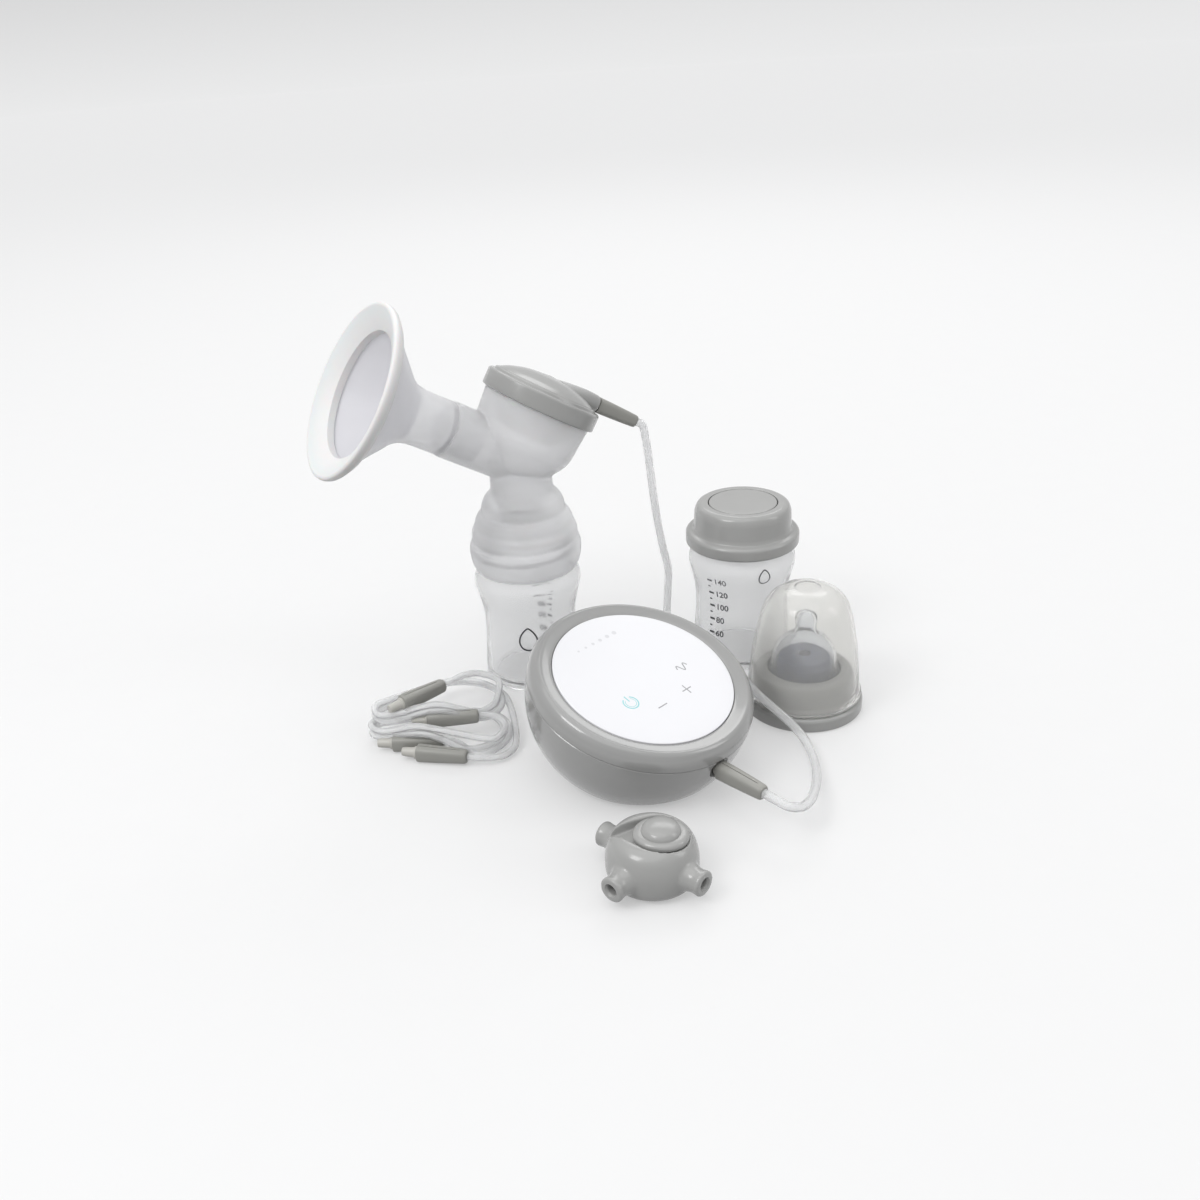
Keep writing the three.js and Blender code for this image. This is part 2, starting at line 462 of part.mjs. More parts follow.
// Each hank is narrow where it is tied and wide where its loops fan out.
let lowerHank = wrappedSlab([-136, 38, 9.9], [-91, 35, 26.2], 0.2, HANK.thickness);
let upperHank = wrappedSlab([-134, 41, 9.9], [-95, 55, 30.4], HANK.thickness + GAP, 2 * HANK.thickness);
sparePlugs.forEach((place, i) => {
  const reach = PLUG.wide + GAP;
  const pocket = moved(box(-reach, reach, -reach, reach, -PLUG.noseLength - GAP, PLUG.length + GAP), place);
  lowerHank = lowerHank.subtract(pocket);
  upperHank = upperHank.subtract(pocket);
  add(part, `spare_plug_${i + 1}`, moved(plug(), place), COLOURS.grey);
});
add(part, 'spare_hank_lower', lowerHank, COLOURS.clear, 0.15);
add(part, 'spare_hank_upper', upperHank, COLOURS.clear, 0.15);

export default part;
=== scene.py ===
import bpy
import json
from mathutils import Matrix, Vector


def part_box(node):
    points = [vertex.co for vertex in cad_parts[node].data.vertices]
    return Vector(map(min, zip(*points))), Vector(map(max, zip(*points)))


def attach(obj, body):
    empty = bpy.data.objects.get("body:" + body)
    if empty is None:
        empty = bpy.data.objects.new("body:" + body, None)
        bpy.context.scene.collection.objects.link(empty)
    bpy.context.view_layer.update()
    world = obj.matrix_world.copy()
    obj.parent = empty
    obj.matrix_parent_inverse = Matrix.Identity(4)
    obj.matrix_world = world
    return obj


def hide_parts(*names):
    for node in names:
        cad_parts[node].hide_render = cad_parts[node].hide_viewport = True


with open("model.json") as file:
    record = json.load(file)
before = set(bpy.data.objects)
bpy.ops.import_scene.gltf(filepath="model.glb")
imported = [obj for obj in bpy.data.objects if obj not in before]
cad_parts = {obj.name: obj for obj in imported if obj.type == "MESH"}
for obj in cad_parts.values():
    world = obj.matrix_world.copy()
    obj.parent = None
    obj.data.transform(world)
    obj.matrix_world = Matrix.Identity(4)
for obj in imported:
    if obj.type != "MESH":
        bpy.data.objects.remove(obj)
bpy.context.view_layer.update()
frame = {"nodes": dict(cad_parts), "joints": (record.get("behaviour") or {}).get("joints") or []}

import json
from math import asin, atan2, ceil, cos, pi, radians, sin

import bmesh
import bpy
from mathutils import Matrix, Vector

# Profiles and routes are in millimetres; everything that Blender gets is in metres.
MM = 0.001
ROUND = 128  # facets round a large turned piece
SMALL = 48  # facets round a small turned piece
FINE, FINEST = 160, 192  # facets round large turned pieces whose outlines catch the eye
SHARP_EDGE = 32  # degrees between faces, above which their edge is shaded as a corner


# ---------------------------------------------------------------- places, from the frame
def centre(node):
    low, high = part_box(node)
    return (low + high) / 2


def joint(name):
    return next(j for j in frame["joints"] if j["name"] == name)


def move(x, y, z):
    """A shift in millimetres."""
    return Matrix.Translation((x * MM, y * MM, z * MM))


def turn(degrees, axis="Z"):
    return Matrix.Rotation(radians(degrees), 4, axis)


def standing_at(node):
    """The axis of an upright turned node, on the table."""
    spot = centre(node)
    return Matrix.Translation((spot.x, spot.y, 0))


UNIT_LOW_SIDE = -48.3  # the way the motor unit's panel leans, as an azimuth
UNIT_TILT = 18
UNIT_HEIGHT = 47.8  # of the widest ring's centre
UNIT_RADIUS, UNIT_DEPTH, UNIT_POWER, UNIT_WALL = 58, 58.5, 2.45, 2.5
PANEL_RADIUS, PANEL_TOP = 46.2, 4.2
PORT_AZIMUTH, PORT_HEIGHT, PORT_FACE = -52, 20.3, 51.6
PLUG_LENGTH = 28

unit_place = move(0, 0, UNIT_HEIGHT) @ turn(UNIT_LOW_SIDE) @ turn(UNIT_TILT, "Y") @ turn(-UNIT_LOW_SIDE)
storage_place = standing_at("storage_bottle")
teat_place = standing_at("teat_collar")
splitter_place = standing_at("splitter_base")
pull = Vector(joint("shield_pull")["axis"])
KIT_TURN = atan2(-pull.y, -pull.x)
KIT_LEAN = asin(pull.z)
kit_place = standing_at("feeding_bottle") @ Matrix.Rotation(KIT_TURN, 4, "Z")
TUNNEL_HEIGHT = 132.4
CUP_X, CUP_Z = 13.1, 160
cup_place = kit_place @ move(CUP_X, 0, CUP_Z) @ Matrix.Rotation(KIT_LEAN, 4, "Y")
tunnel_place = kit_place @ move(0, 0, TUNNEL_HEIGHT) @ Matrix.Rotation(KIT_LEAN - pi / 2, 4, "Y")
SPOUT_HEIGHT, SPOUT_END = 12.6, 32.4
COLLAR_LIFT = (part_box("storage_collar")[0].z) / MM


def along(azimuth, distance, height):
    """A place whose +Z runs outward along a level line of this azimuth."""
    return turn(azimuth) @ move(distance, 0, height) @ turn(90, "Y")


# ---------------------------------------------------------------- camera
CAMERA_TARGET = Vector((-0.0527, 0.0467, 0.060))
CAMERA_DISTANCE, CAMERA_ELEVATION, CAMERA_ROLL = 0.63667, 27.52, 3.97
camera_data = bpy.data.cameras.new("camera")
camera_data.sensor_width, camera_data.lens = 36, 36
camera_data.shift_x, camera_data.shift_y = 0.0564, 0.0200
camera = bpy.data.objects.new("camera", camera_data)
camera.matrix_world = (
    Matrix.Translation(CAMERA_TARGET) @ turn(90 - CAMERA_ELEVATION, "X") @ turn(-CAMERA_ROLL)
    @ Matrix.Translation((0, 0, CAMERA_DISTANCE)))
bpy.context.scene.collection.objects.link(camera)
bpy.context.scene.camera = camera


# ---------------------------------------------------------------- materials
def new_material(name):
    made = bpy.data.materials.new(name)
    made.use_nodes = True
    return made, made.node_tree, made.node_tree.nodes["Principled BSDF"]


def noise(tree, size_mm, detail=3.0):
    """A noise whose features are about size_mm across, in the object's own frame."""
    coordinates = tree.nodes.new("ShaderNodeTexCoord")
    texture = tree.nodes.new("ShaderNodeTexNoise")
    texture.inputs["Scale"].default_value = 1 / (size_mm * MM)
    texture.inputs["Detail"].default_value = detail
    tree.links.new(coordinates.outputs["Object"], texture.inputs["Vector"])
    return texture.outputs["Fac"]


def ranged(tree, value, low, high):
    mapped = tree.nodes.new("ShaderNodeMapRange")
    mapped.inputs["From Min"].default_value = 0.3
    mapped.inputs["From Max"].default_value = 0.7
    mapped.inputs["To Min"].default_value = low
    mapped.inputs["To Max"].default_value = high
    tree.links.new(value, mapped.inputs["Value"])
    return mapped.outputs["Result"]


def tinted(tree, value, colour, spread):
    """The colour, a little darker and lighter with the value."""
    ramp = tree.nodes.new("ShaderNodeValToRGB")
    ramp.color_ramp.elements[0].position = 0.3
    ramp.color_ramp.elements[1].position = 0.7
    ramp.color_ramp.elements[0].color = [c * (1 - spread) for c in colour] + [1]
    ramp.color_ramp.elements[1].color = [min(1, c * (1 + spread)) for c in colour] + [1]
    tree.links.new(value, ramp.inputs["Fac"])
    return ramp.outputs["Color"]


def moulded(name, colour, roughness, spread=0.02, grain=0.5, grain_depth=0.004, wear=0.02, **uniform):
    """A moulded plastic or rubber: drifting colour, uneven gloss and a fine grain."""
    made, tree, shader = new_material(name)
    tree.links.new(tinted(tree, noise(tree, 22), colour, spread), shader.inputs["Base Color"])
    gloss = ranged(tree, noise(tree, 6, 5), roughness - wear, roughness + wear)
    tree.links.new(gloss, shader.inputs["Roughness"])
    bump = tree.nodes.new("ShaderNodeBump")
    bump.inputs["Strength"].default_value = 0.6
    bump.inputs["Distance"].default_value = grain_depth * MM
    tree.links.new(noise(tree, grain, 2), bump.inputs["Height"])
    tree.links.new(bump.outputs["Normal"], shader.inputs["Normal"])
    for socket, value in uniform.items():
        shader.inputs[socket.replace("_", " ")].default_value = value
    return made


grey = moulded("grey_plastic", (0.350, 0.350, 0.342), 0.24, IOR=1.5, Coat_Weight=0.3, Coat_Roughness=0.1)
grey_shell = moulded("grey_shell", (0.315, 0.315, 0.310), 0.20, IOR=1.5, Coat_Weight=0.7, Coat_Roughness=0.06)
plug_grey = moulded("plug_grey", (0.31, 0.307, 0.285), 0.40, IOR=1.48)
plug_ring = moulded("plug_ring", (0.50, 0.49, 0.455), 0.38, IOR=1.48)
panel_white = moulded("panel_white", (0.79, 0.79, 0.81), 0.34, spread=0.004, grain_depth=0.001, wear=0.01,
                      IOR=1.45)
bottle_clear = moulded("bottle_clear", (0.985, 0.987, 0.99), 0.12, spread=0.006, grain=3, grain_depth=0.01,
                       IOR=1.22, Transmission_Weight=0.83)
dome_clear = moulded("dome_clear", (0.98, 0.977, 0.96), 0.10, spread=0.008, grain=4, grain_depth=0.01,
                     IOR=1.28, Transmission_Weight=0.86)
frosted = moulded("frosted_plastic", (0.99, 0.99, 0.998), 0.34, spread=0.005, grain=1.2, grain_depth=0.003,
                  IOR=1.20, Transmission_Weight=0.62)
# A darker copy of the frosted plastic for the inside of the shield's cone: painted shade.
frosted_cone_painted_shade = moulded("frosted_cone_painted_shade", (0.71, 0.705, 0.74), 0.34, spread=0.008, grain=1.2, grain_depth=0.003,
                       IOR=1.20, Transmission_Weight=0.45)
silicone = moulded("white_silicone", (0.80, 0.792, 0.788), 0.40, spread=0.012, grain=0.8, IOR=1.41,
                   Subsurface_Weight=0.15, Subsurface_Scale=0.004)
teat_silicone = moulded("teat_silicone", (0.95, 0.965, 0.99), 0.08, spread=0.01, grain=1.5, IOR=1.28,
                        Transmission_Weight=0.95)
# Dark blue painted shade for the teat vent: it stands in for the dark inside of the collar seen through the
# clear teat.
vent_painted_shade = moulded("vent_painted_shade", (0.03, 0.045, 0.12), 0.22, spread=0.03, IOR=1.45, Transmission_Weight=0.1)
tubing = moulded("clear_tubing", (0.985, 0.987, 0.99), 0.24, spread=0.005, grain=6, grain_depth=0.001,
                 wear=0.01, IOR=1.20, Transmission_Weight=0.76)
rubber = moulded("grey_rubber", (0.12, 0.12, 0.115), 0.75, spread=0.08, grain=0.6, grain_depth=0.05)
black_rubber = moulded("black_rubber", (0.025, 0.025, 0.026), 0.7, spread=0.1, grain=0.5, grain_depth=0.04)
dark_plastic = moulded("dark_plastic", (0.11, 0.11, 0.105), 0.5, spread=0.05)
black_plastic = moulded("black_plastic", (0.025, 0.025, 0.026), 0.45, spread=0.1)
steel = moulded("steel", (0.56, 0.57, 0.58), 0.32, spread=0.06, grain=0.25, Metallic=1.0)
brass = moulded("brass", (0.62, 0.47, 0.22), 0.35, spread=0.06, grain=0.25, Metallic=1.0)
board_green = moulded("board_green", (0.03, 0.14, 0.07), 0.4, spread=0.15)
battery_blue = moulded("battery_blue", (0.04, 0.10, 0.30), 0.3, spread=0.08)
ink = moulded("dark_ink", (0.045, 0.045, 0.05), 0.45, spread=0.1)
grey_ink = moulded("grey_ink", (0.34, 0.34, 0.35), 0.4, spread=0.05)
teal_ink = moulded("teal_ink", (0.28, 0.62, 0.64), 0.35, spread=0.05)
pale_ink = moulded("pale_ink", (0.66, 0.66, 0.68), 0.4, spread=0.03)

inner_materials = {
    steel: ["base_screw_1", "base_screw_2", "base_screw_3", "dc_motor", "release_valve"],
    brass: ["drive_cam", "valve_plunger"],
    dark_plastic: ["pump_head", "pump_cap"],
    black_rubber: ["housing_seal", "pump_diaphragm"],
    board_green: ["circuit_board"],
    battery_blue: ["battery_cell"],
    frosted: ["inner_frame", "selector_rotor"],
    tubing: ["inner_air_hose"],
    silicone: ["bottle_seal_ring"],
}
for finish, nodes in inner_materials.items():
    for node in nodes:
        mesh = frame["nodes"][node].data
        mesh.materials.clear()
        mesh.materials.append(finish)


# ---------------------------------------------------------------- mesh helpers
def piece(name, vertices, faces, finish, slot, body, replaced=()):
    """A smooth-shaded object from vertices in metres, riding on a body."""
    mesh = bpy.data.meshes.new(name)
    mesh.from_pydata(vertices, [], faces)
    built = bmesh.new()
    built.from_mesh(mesh)
    bmesh.ops.remove_doubles(built, verts=built.verts, dist=1e-7)
    bmesh.ops.recalc_face_normals(built, faces=built.faces)
    built.to_mesh(mesh)
    built.free()
    made = bpy.data.objects.new(name, mesh)
    bpy.context.scene.collection.objects.link(made)
    finished(made, finish, body, replaced)
    return made


def finished(made, finish, body=None, replaced=()):
    mesh = made.data
    mesh.materials.clear()
    mesh.materials.append(finish)
    mesh.shade_smooth()
    mesh.set_sharp_from_angle(angle=radians(SHARP_EDGE))
    if body:
        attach(made, body)
    if replaced:
        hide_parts(*replaced)


def rounded(profile, steps=5):
    """A profile of [radius, height] or [radius, height, fillet] corners, with its fillets as curves."""
    points = []
    for i, corner in enumerate(profile):
        here = Vector(corner[:2])
        if len(corner) < 3 or i in (0, len(profile) - 1):
            points.append(here)
            continue
        before = Vector(profile[i - 1][:2]) - here
        after = Vector(profile[i + 1][:2]) - here
        reach = min(corner[2], 0.48 * before.length, 0.48 * after.length)
        start, end = here + before.normalized() * reach, here + after.normalized() * reach
        for k in range(steps + 1):
            t = k / steps
            points.append(start * (1 - t) ** 2 + here * 2 * t * (1 - t) + end * t ** 2)
    return [(p.x, p.y) for p in points]


def smoothed(points, count):
    """A centripetal Catmull-Rom curve through the points, with count steps between each two."""
    knots = [Vector(p) for p in points]
    knots = [knots[0] * 2 - knots[1], *knots, knots[-1] * 2 - knots[-2]]
    curve = []
    for a, b, c, d in zip(knots, knots[1:], knots[2:], knots[3:]):
        t1 = (b - a).length ** 0.5
        t2 = t1 + (c - b).length ** 0.5
        t3 = t2 + (d - c).length ** 0.5
        for k in range(count):
            t = t1 + (t2 - t1) * k / count
            ab = a * ((t1 - t) / t1) + b * (t / t1)
            bc = b * ((t2 - t) / (t2 - t1)) + c * ((t - t1) / (t2 - t1))
            cd = c * ((t3 - t) / (t3 - t2)) + d * ((t - t2) / (t3 - t2))
            abc = ab * ((t2 - t) / t2) + bc * (t / t2)
            bcd = bc * ((t3 - t) / (t3 - t1)) + cd * ((t - t1) / (t3 - t1))
            curve.append(abc * ((t2 - t) / (t2 - t1)) + bcd * ((t - t1) / (t2 - t1)))
    curve.append(knots[-2])
    return curve


def turned(profile, place=Matrix(), facets=ROUND):
    """Vertices and faces of a profile turned round +Z, closed between its ends off the axis."""
    on_axis = profile[0][0] == 0 and profile[-1][0] == 0
    vertices, faces, rings = [], [], []
    for r, z in profile:
        if r < 1e-6:
            rings.append([len(vertices)] * facets)
            vertices.append(place @ (Vector((0, 0, z)) * MM))
            continue
        rings.append(range(len(vertices), len(vertices) + facets))
        for k in range(facets):
            angle = 2 * pi * k / facets
            vertices.append(place @ (Vector((r * cos(angle), r * sin(angle), z)) * MM))
    pairs = list(zip(rings, rings[1:]))
    if not on_axis:
        pairs.append((rings[-1], rings[0]))
    for lower, upper in pairs:
        for k in range(facets):
            n = (k + 1) % facets
            corners = [lower[k], lower[n], upper[n], upper[k]]
            kept = [c for i, c in enumerate(corners) if c != corners[i - 1]]
            if len(kept) > 2:
                faces.append(kept)
    return vertices, faces


def lathe(name, profile, finish, slot, body, place=Matrix(), replaced=(), facets=ROUND):
    return piece(name, *turned(profile, place, facets), finish, slot, body, replaced)


def loft(rings, closed_ends=True):
    """Vertices and faces through rings of points, each ring with the same count."""
    count = len(rings[0])
    vertices = [v for ring in rings for v in ring]
    faces = []
    for i in range(len(rings) - 1):
        for k in range(count):
            n = (k + 1) % count
            faces.append([i * count + k, i * count + n, (i + 1) * count + n, (i + 1) * count + k])
    if closed_ends:
        faces.append(list(range(count))[::-1])
        faces.append(list(range((len(rings) - 1) * count, len(rings) * count)))
    return vertices, faces


def superellipse(half_x, half_y, power, z, place, count=SMALL, shift=0.0):
    """A ring of points, round at power 2 and squarer above, at a height in the place's frame."""
    ring = []
    for k in range(count):
        angle = 2 * pi * k / count
        c, s = cos(angle), sin(angle)
        x = shift + half_x * abs(c) ** (2 / power) * (1 if c >= 0 else -1)
        y = half_y * abs(s) ** (2 / power) * (1 if s >= 0 else -1)
        ring.append(place @ (Vector((x, y, z)) * MM))
    return ring


def combined(target, other, operation):
    """Joins or cuts the target with another object, which goes away."""
    modifier = target.modifiers.new("combine", "BOOLEAN")
    modifier.operation, modifier.object, modifier.solver = operation, other, "EXACT"
    baked(target)
    bpy.data.objects.remove(other)


def baked(target):
    """Applies the target's modifiers to its mesh."""
    graph = bpy.context.evaluated_depsgraph_get()
    mesh = bpy.data.meshes.new_from_object(target.evaluated_get(graph))
    target.modifiers.clear()
    target.data = mesh


def tool(vertices, faces):
    """An unnamed solid for cutting or joining."""
    return piece("tool", vertices, faces, grey, None, None)


def box_tool(low, high, place=Matrix()):
    (x0, y0, z0), (x1, y1, z1) = low, high
    corners = ((x0, y0), (x1, y0), (x1, y1), (x0, y1))
    rings = [[place @ (Vector((x, y, z)) * MM) for x, y in corners] for z in (z0, z1)]
    return tool(*loft(rings))


def blended(target, voxel_mm, passes, keep=None):
    """Remeshes a joined solid and relaxes it, so that its joins become fillets, except where keep(point)."""
    modifier = target.modifiers.new("remesh", "REMESH")
    modifier.mode, modifier.voxel_size = "VOXEL", voxel_mm * MM
    baked(target)
    built = bmesh.new()
    built.from_mesh(target.data)
    free = [v for v in built.verts if not (keep and keep(v.co))]
    for chosen in [free] * passes + [built.verts]:
        bmesh.ops.smooth_vert(
            built, verts=chosen, factor=0.5, use_axis_x=True, use_axis_y=True, use_axis_z=True)
    built.to_mesh(target.data)
    built.free()


def sweep(path, radius, sides, bore):
    """Vertices and faces of a round tube along a dense path in millimetres."""
    line = [Vector(p) for p in path]
    tangents = [(b - a).normalized() for a, b in zip([line[0], *line], [*line[1:], line[-1]])]
    tangents[0] = (line[1] - line[0]).normalized()
    side = tangents[0].orthogonal().normalized()
    frames = []
    for i, tangent in enumerate(tangents):
        if i:
            side = tangents[i - 1].rotation_difference(tangent) @ side
            side = (side - tangent * side.dot(tangent)).normalized()
        frames.append((side, tangent.cross(side)))

    def rings(r):
        return [[(p + (u * cos(2 * pi * k / sides) + v * sin(2 * pi * k / sides)) * r) * MM
                 for k in range(sides)] for p, (u, v) in zip(line, frames)]
    outer, inner = rings(radius), rings(bore)
    return loft([*outer, *inner[::-1], outer[0]], closed_ends=False)


# ---------------------------------------------------------------- cords: routes first
TUBE_RADIUS, TUBE_BORE = 2.3, 1.65


def point_on(place, height):
    return place @ Vector((0, 0, height * MM)) / MM


port_plug_place = along(PORT_AZIMUTH, PORT_FACE + 0.5, PORT_HEIGHT)
cap_plug_place = cup_place @ move(SPOUT_END + 0.4, 0, SPOUT_HEIGHT) @ turn(90, "Y")
air_route = [
    point_on(port_plug_place, PLUG_LENGTH + 0.3), point_on(port_plug_place, PLUG_LENGTH + 7),
    (58.4, -72.2, 19), (64.6, -70.6, 16.6), (70.6, -63, 13.6), (76, -51, 10.4), (80.6, -37.5, 7.2),
    (83.6, -24, 4.8), (84.9, -10, 4.2), (83.2, 2.4, 6.2), (78.8, 11, 9.4), (72.4, 17.2, 14),
    (65.2, 24.8, 18.8), (60.4, 34, 21.6), (57.8, 44.4, 22.2), (56.2, 56, 20.4), (53.8, 68, 16.8),
    (49.6, 83.4, 10.8), (42.4, 99, 5.4), (36, 112, 3.4), (31.6, 121.6, 6), (29.6, 129, 14), (30.4, 133, 28),
    (31, 134, 45), (28, 134.3, 60), (24.6, 134.3, 80), (22.4, 134.3, 98), (20.8, 134.1, 113),
    (19.2, 133.8, 126), point_on(cap_plug_place, PLUG_LENGTH + 5),
    point_on(cap_plug_place, PLUG_LENGTH + 0.3),
]


SPARE_RADIUS, SPARE_BORE = 1.9, 1.3
TIE_MIDDLE = 0.96  # the share of a turn where the tie's middle is
HUMP_MIDDLE, HUMP_REACH = 0.14, 0.15  # the shares of a turn where it climbs over the plugs


def hank_turn(share, tie, tie_radius, loop, loop_radius):
    """The point at this share of one turn round two circles, from the tie's near side, anticlockwise."""
    tie, loop = Vector(tie), Vector(loop)
    span = loop - tie
    heading = atan2(span.y, span.x)
    slope = asin((loop_radius - tie_radius) / span.length)
    straight = span.length * cos(slope)
    big, small = loop_radius * (pi + 2 * slope), tie_radius * (pi - 2 * slope)
    total = 2 * straight + big + small
    s = share * total
    if s < straight:
        angle = heading - pi / 2 - slope
        return tie.lerp(loop, s / straight) + Vector((cos(angle), sin(angle))) * (
            tie_radius + (loop_radius - tie_radius) * s / straight)
    s -= straight
    if s < big:
        angle = heading - pi / 2 - slope + s / loop_radius
        return loop + Vector((cos(angle), sin(angle))) * loop_radius
    s -= big
    if s < straight:
        angle = heading + pi / 2 + slope
        return loop.lerp(tie, s / straight) + Vector((cos(angle), sin(angle))) * (
            loop_radius + (tie_radius - loop_radius) * s / straight)
    s -= straight
    angle = heading + pi / 2 + slope + s / tie_radius
    return tie + Vector((cos(angle), sin(angle))) * tie_radius


def at_turn(values, turns):
    """Blends a list of per-turn values at a turn count with a fraction."""
    low = min(int(turns), len(values) - 2)
    share = min(1, turns - low)
    return values[low] + (values[low + 1] - values[low]) * share


def lying(x, y, z, azimuth):
    """A place whose +Z runs level at this azimuth."""
    return move(x, y, z) @ turn(azimuth) @ turn(90, "Y")


PLUG_MIDDLE = 10  # of the plug's solid, past its shoulder


def lying_like(node, azimuth):
    """A spare plug's place, from its solid."""
    spot = centre(node) / MM
    heading = Vector((cos(radians(azimuth)), sin(radians(azimuth)), 0))
    shoulder = spot - heading * PLUG_MIDDLE
    return lying(shoulder.x, shoulder.y, shoulder.z, azimuth)


PLUG_AZIMUTHS = (38, 0, -15, -6)
spare_plug_places = [lying_like(f"spare_plug_{i + 1}", azimuth) for i, azimuth in enumerate(PLUG_AZIMUTHS)]


def tail(index, beyond=0.3):
    return point_on(spare_plug_places[index], PLUG_LENGTH + beyond)


def hank_route(first, last, steps, tie, loop, tie_radius, loop_radii, tie_heights, loop_heights, humps):
    """Points of the turns from first to last, counted in turns, with their heights at tie, loop and hump."""
    points = []
    count = ceil((last - first) * steps)
    for k in range(count + 1):
        u = first + (last - first) * k / count
        share = u % 1
        flat = hank_turn(share, tie, tie_radius, loop, at_turn(loop_radii, u))
        at_tie = (1 + cos(2 * pi * (share - TIE_MIDDLE))) / 2
        from_hump = share - HUMP_MIDDLE
        hump = max(0, cos(pi * from_hump / (2 * HUMP_REACH))) ** 2 if abs(from_hump) < HUMP_REACH else 0
        height = at_turn(tie_heights, u) * at_tie + at_turn(loop_heights, u) * (1 - at_tie)
        points.append(Vector((flat.x, flat.y, height + (at_turn(humps, u) - height) * hump)))
    return points


def arc_route(centre_x, centre_y, radius, start, end, z_start, z_end, count):
    points = []
    for k in range(count + 1):
        angle = radians(start + (end - start) * k / count)
        z = z_start + (z_end - z_start) * k / count
        points.append(Vector((centre_x + radius * cos(angle), centre_y + radius * sin(angle), z)))
    return points


lower_route = [
    tail(3), tail(3, 6),
    *hank_route(0.30, 2.12, 16, (-136, 38), (-91, 35), 7.8, [24, 20, 17, 15],
                [2.2, 6.2, 10, 12], [2.2, 2.2, 5, 9], [11, 11, 15, 16]),
    *arc_route(-80, 24, 9, -70, 80, 10, 13.9, 5), tail(1, 5), tail(1),
]
upper_route = [
    tail(2), tail(2, 6), Vector((-73.6, 8.5, 3.4)), Vector((-66.8, 17, 2.6)), Vector((-65.6, 28, 5)),
    *hank_route(0.44, 2.40, 16, (-134, 41), (-95, 55), 7.8, [27.5, 24, 21, 19],
                [10, 14, 18, 20], [5, 8, 11, 13], [16, 19, 22, 23]),
    Vector((-74, 66, 16)), Vector((-83.5, 69.4, 19)), Vector((-92, 64, 22)), tail(0, 5), tail(0),
]


def tube_piece(name, route, radius, bore, exit_point, far_end, lay, plugs, *nodes):
    """A clear tube along its route."""
    path = smoothed(route, 12)
    made = piece(name, *sweep(path, radius, 24, bore), tubing, "clear_tube", "root", nodes)


# ---------------------------------------------------------------- plugs
def plug(name, place, node):
    """A soft rounded-square plug with a pale ring at its shoulder and a round nose."""
    sections = [(0.3, 3.6, 3.5), (0.6, 4.1, 3.6), (1.2, 4.35, 3.6), (10, 4.15, 3.6), (20, 3.8, 3.4),
                (26.4, 3.52, 3.2), (27.4, 3.35, 3), (27.9, 3.0, 2.6), (PLUG_LENGTH, 2.5, 2.2)]
    rings = [superellipse(half, half * 0.94, power, z, place) for z, half, power in sections]
    made = piece(name, *loft(rings), plug_grey, "plug_plastic", "root", [node])
    groove = [superellipse(0.5, 0.28, 2, z, place, 8, -4.25 + 0.028 * z) for z in (2, 24)]
    combined(made, tool(*loft(groove)), "DIFFERENCE")
    finished(made, plug_grey)
    nose = rounded([[0, -8], [2.2, -8, 0.5], [2.5, -6], [2.75, -1, 0.3], [3.35, -0.9, 0.2], [3.45, 0.35, 0.2],
                    [0, 0.35]])
    return [made, lathe(f"{name}_nose", nose, plug_ring, "plug_plastic", "root", place, facets=SMALL)]


port_plug = plug("plug_at_port", port_plug_place, "tube_plug_port")
cap_plug = plug("plug_at_cap", cap_plug_place, "tube_plug_cap")
spare_plugs = [plug(f"spare_plug_{i + 1}_soft", place, f"spare_plug_{i + 1}")
               for i, place in enumerate(spare_plug_places)]

tube_piece("air_tube_clear", air_route, TUBE_RADIUS, TUBE_BORE, air_route[0], "object", "loose",
           [*port_plug, *cap_plug], "air_tube")
tube_piece("spare_tube_lower", lower_route, SPARE_RADIUS, SPARE_BORE, tail(3), "plug", "coiled",
           [*spare_plugs[3], *spare_plugs[1]], "spare_hank_lower")
tube_piece("spare_tube_upper", upper_route, SPARE_RADIUS, SPARE_BORE, tail(2), "plug", "coiled",
           [*spare_plugs[2], *spare_plugs[0]], "spare_hank_upper")

# ---------------------------------------------------------------- motor unit
def bowl_curve(inset, top, count):
    """The bowl's own curve from the top down to the axis."""
    radius, depth = UNIT_RADIUS - inset, UNIT_DEPTH - inset
    points = []
    for k in range(count + 1):
        z = top - (depth + top) * sin(pi / 2 * k / count) ** 1.15
        r = radius * max(0, 1 - (-z / depth) ** UNIT_POWER) ** (1 / UNIT_POWER)
        points.append((0 if k == count else r, z))
    return points


SEAM, SEAM_BEVEL = -4.3, 0.35
FLAT_BASE = 1.5  # height at which the bowl is cut off
SOCKET_HEIGHT = 24
socket_place = along(UNIT_LOW_SIDE + 180, 0, SOCKET_HEIGHT)
outer_bowl = bowl_curve(0, SEAM, 30)
outer_bowl[0] = (outer_bowl[0][0] - SEAM_BEVEL, SEAM)
outer_bowl.insert(1, (bowl_curve(0, SEAM - SEAM_BEVEL, 30)[0][0], SEAM - SEAM_BEVEL))
housing = lathe("housing_bowl", [*outer_bowl, *bowl_curve(UNIT_WALL, SEAM, 26)[::-1]],
                grey_shell, "grey_plastic", "root", unit_place, ["lower_housing"], FINE)
combined(housing, box_tool((-90, -90, -30), (90, 90, FLAT_BASE)), "DIFFERENCE")
port_cut = rounded([[0, 38], [5.2, 38], [5.2, 51.0], [6.4, 52.6], [7.4, 58], [0, 58]])
combined(housing, tool(*turned(port_cut, along(PORT_AZIMUTH, 0, PORT_HEIGHT), SMALL)), "DIFFERENCE")
combined(housing, box_tool((-4.3, -6.3, 40), (4.3, 6.3, 80), socket_place), "DIFFERENCE")
finished(housing, grey_shell)

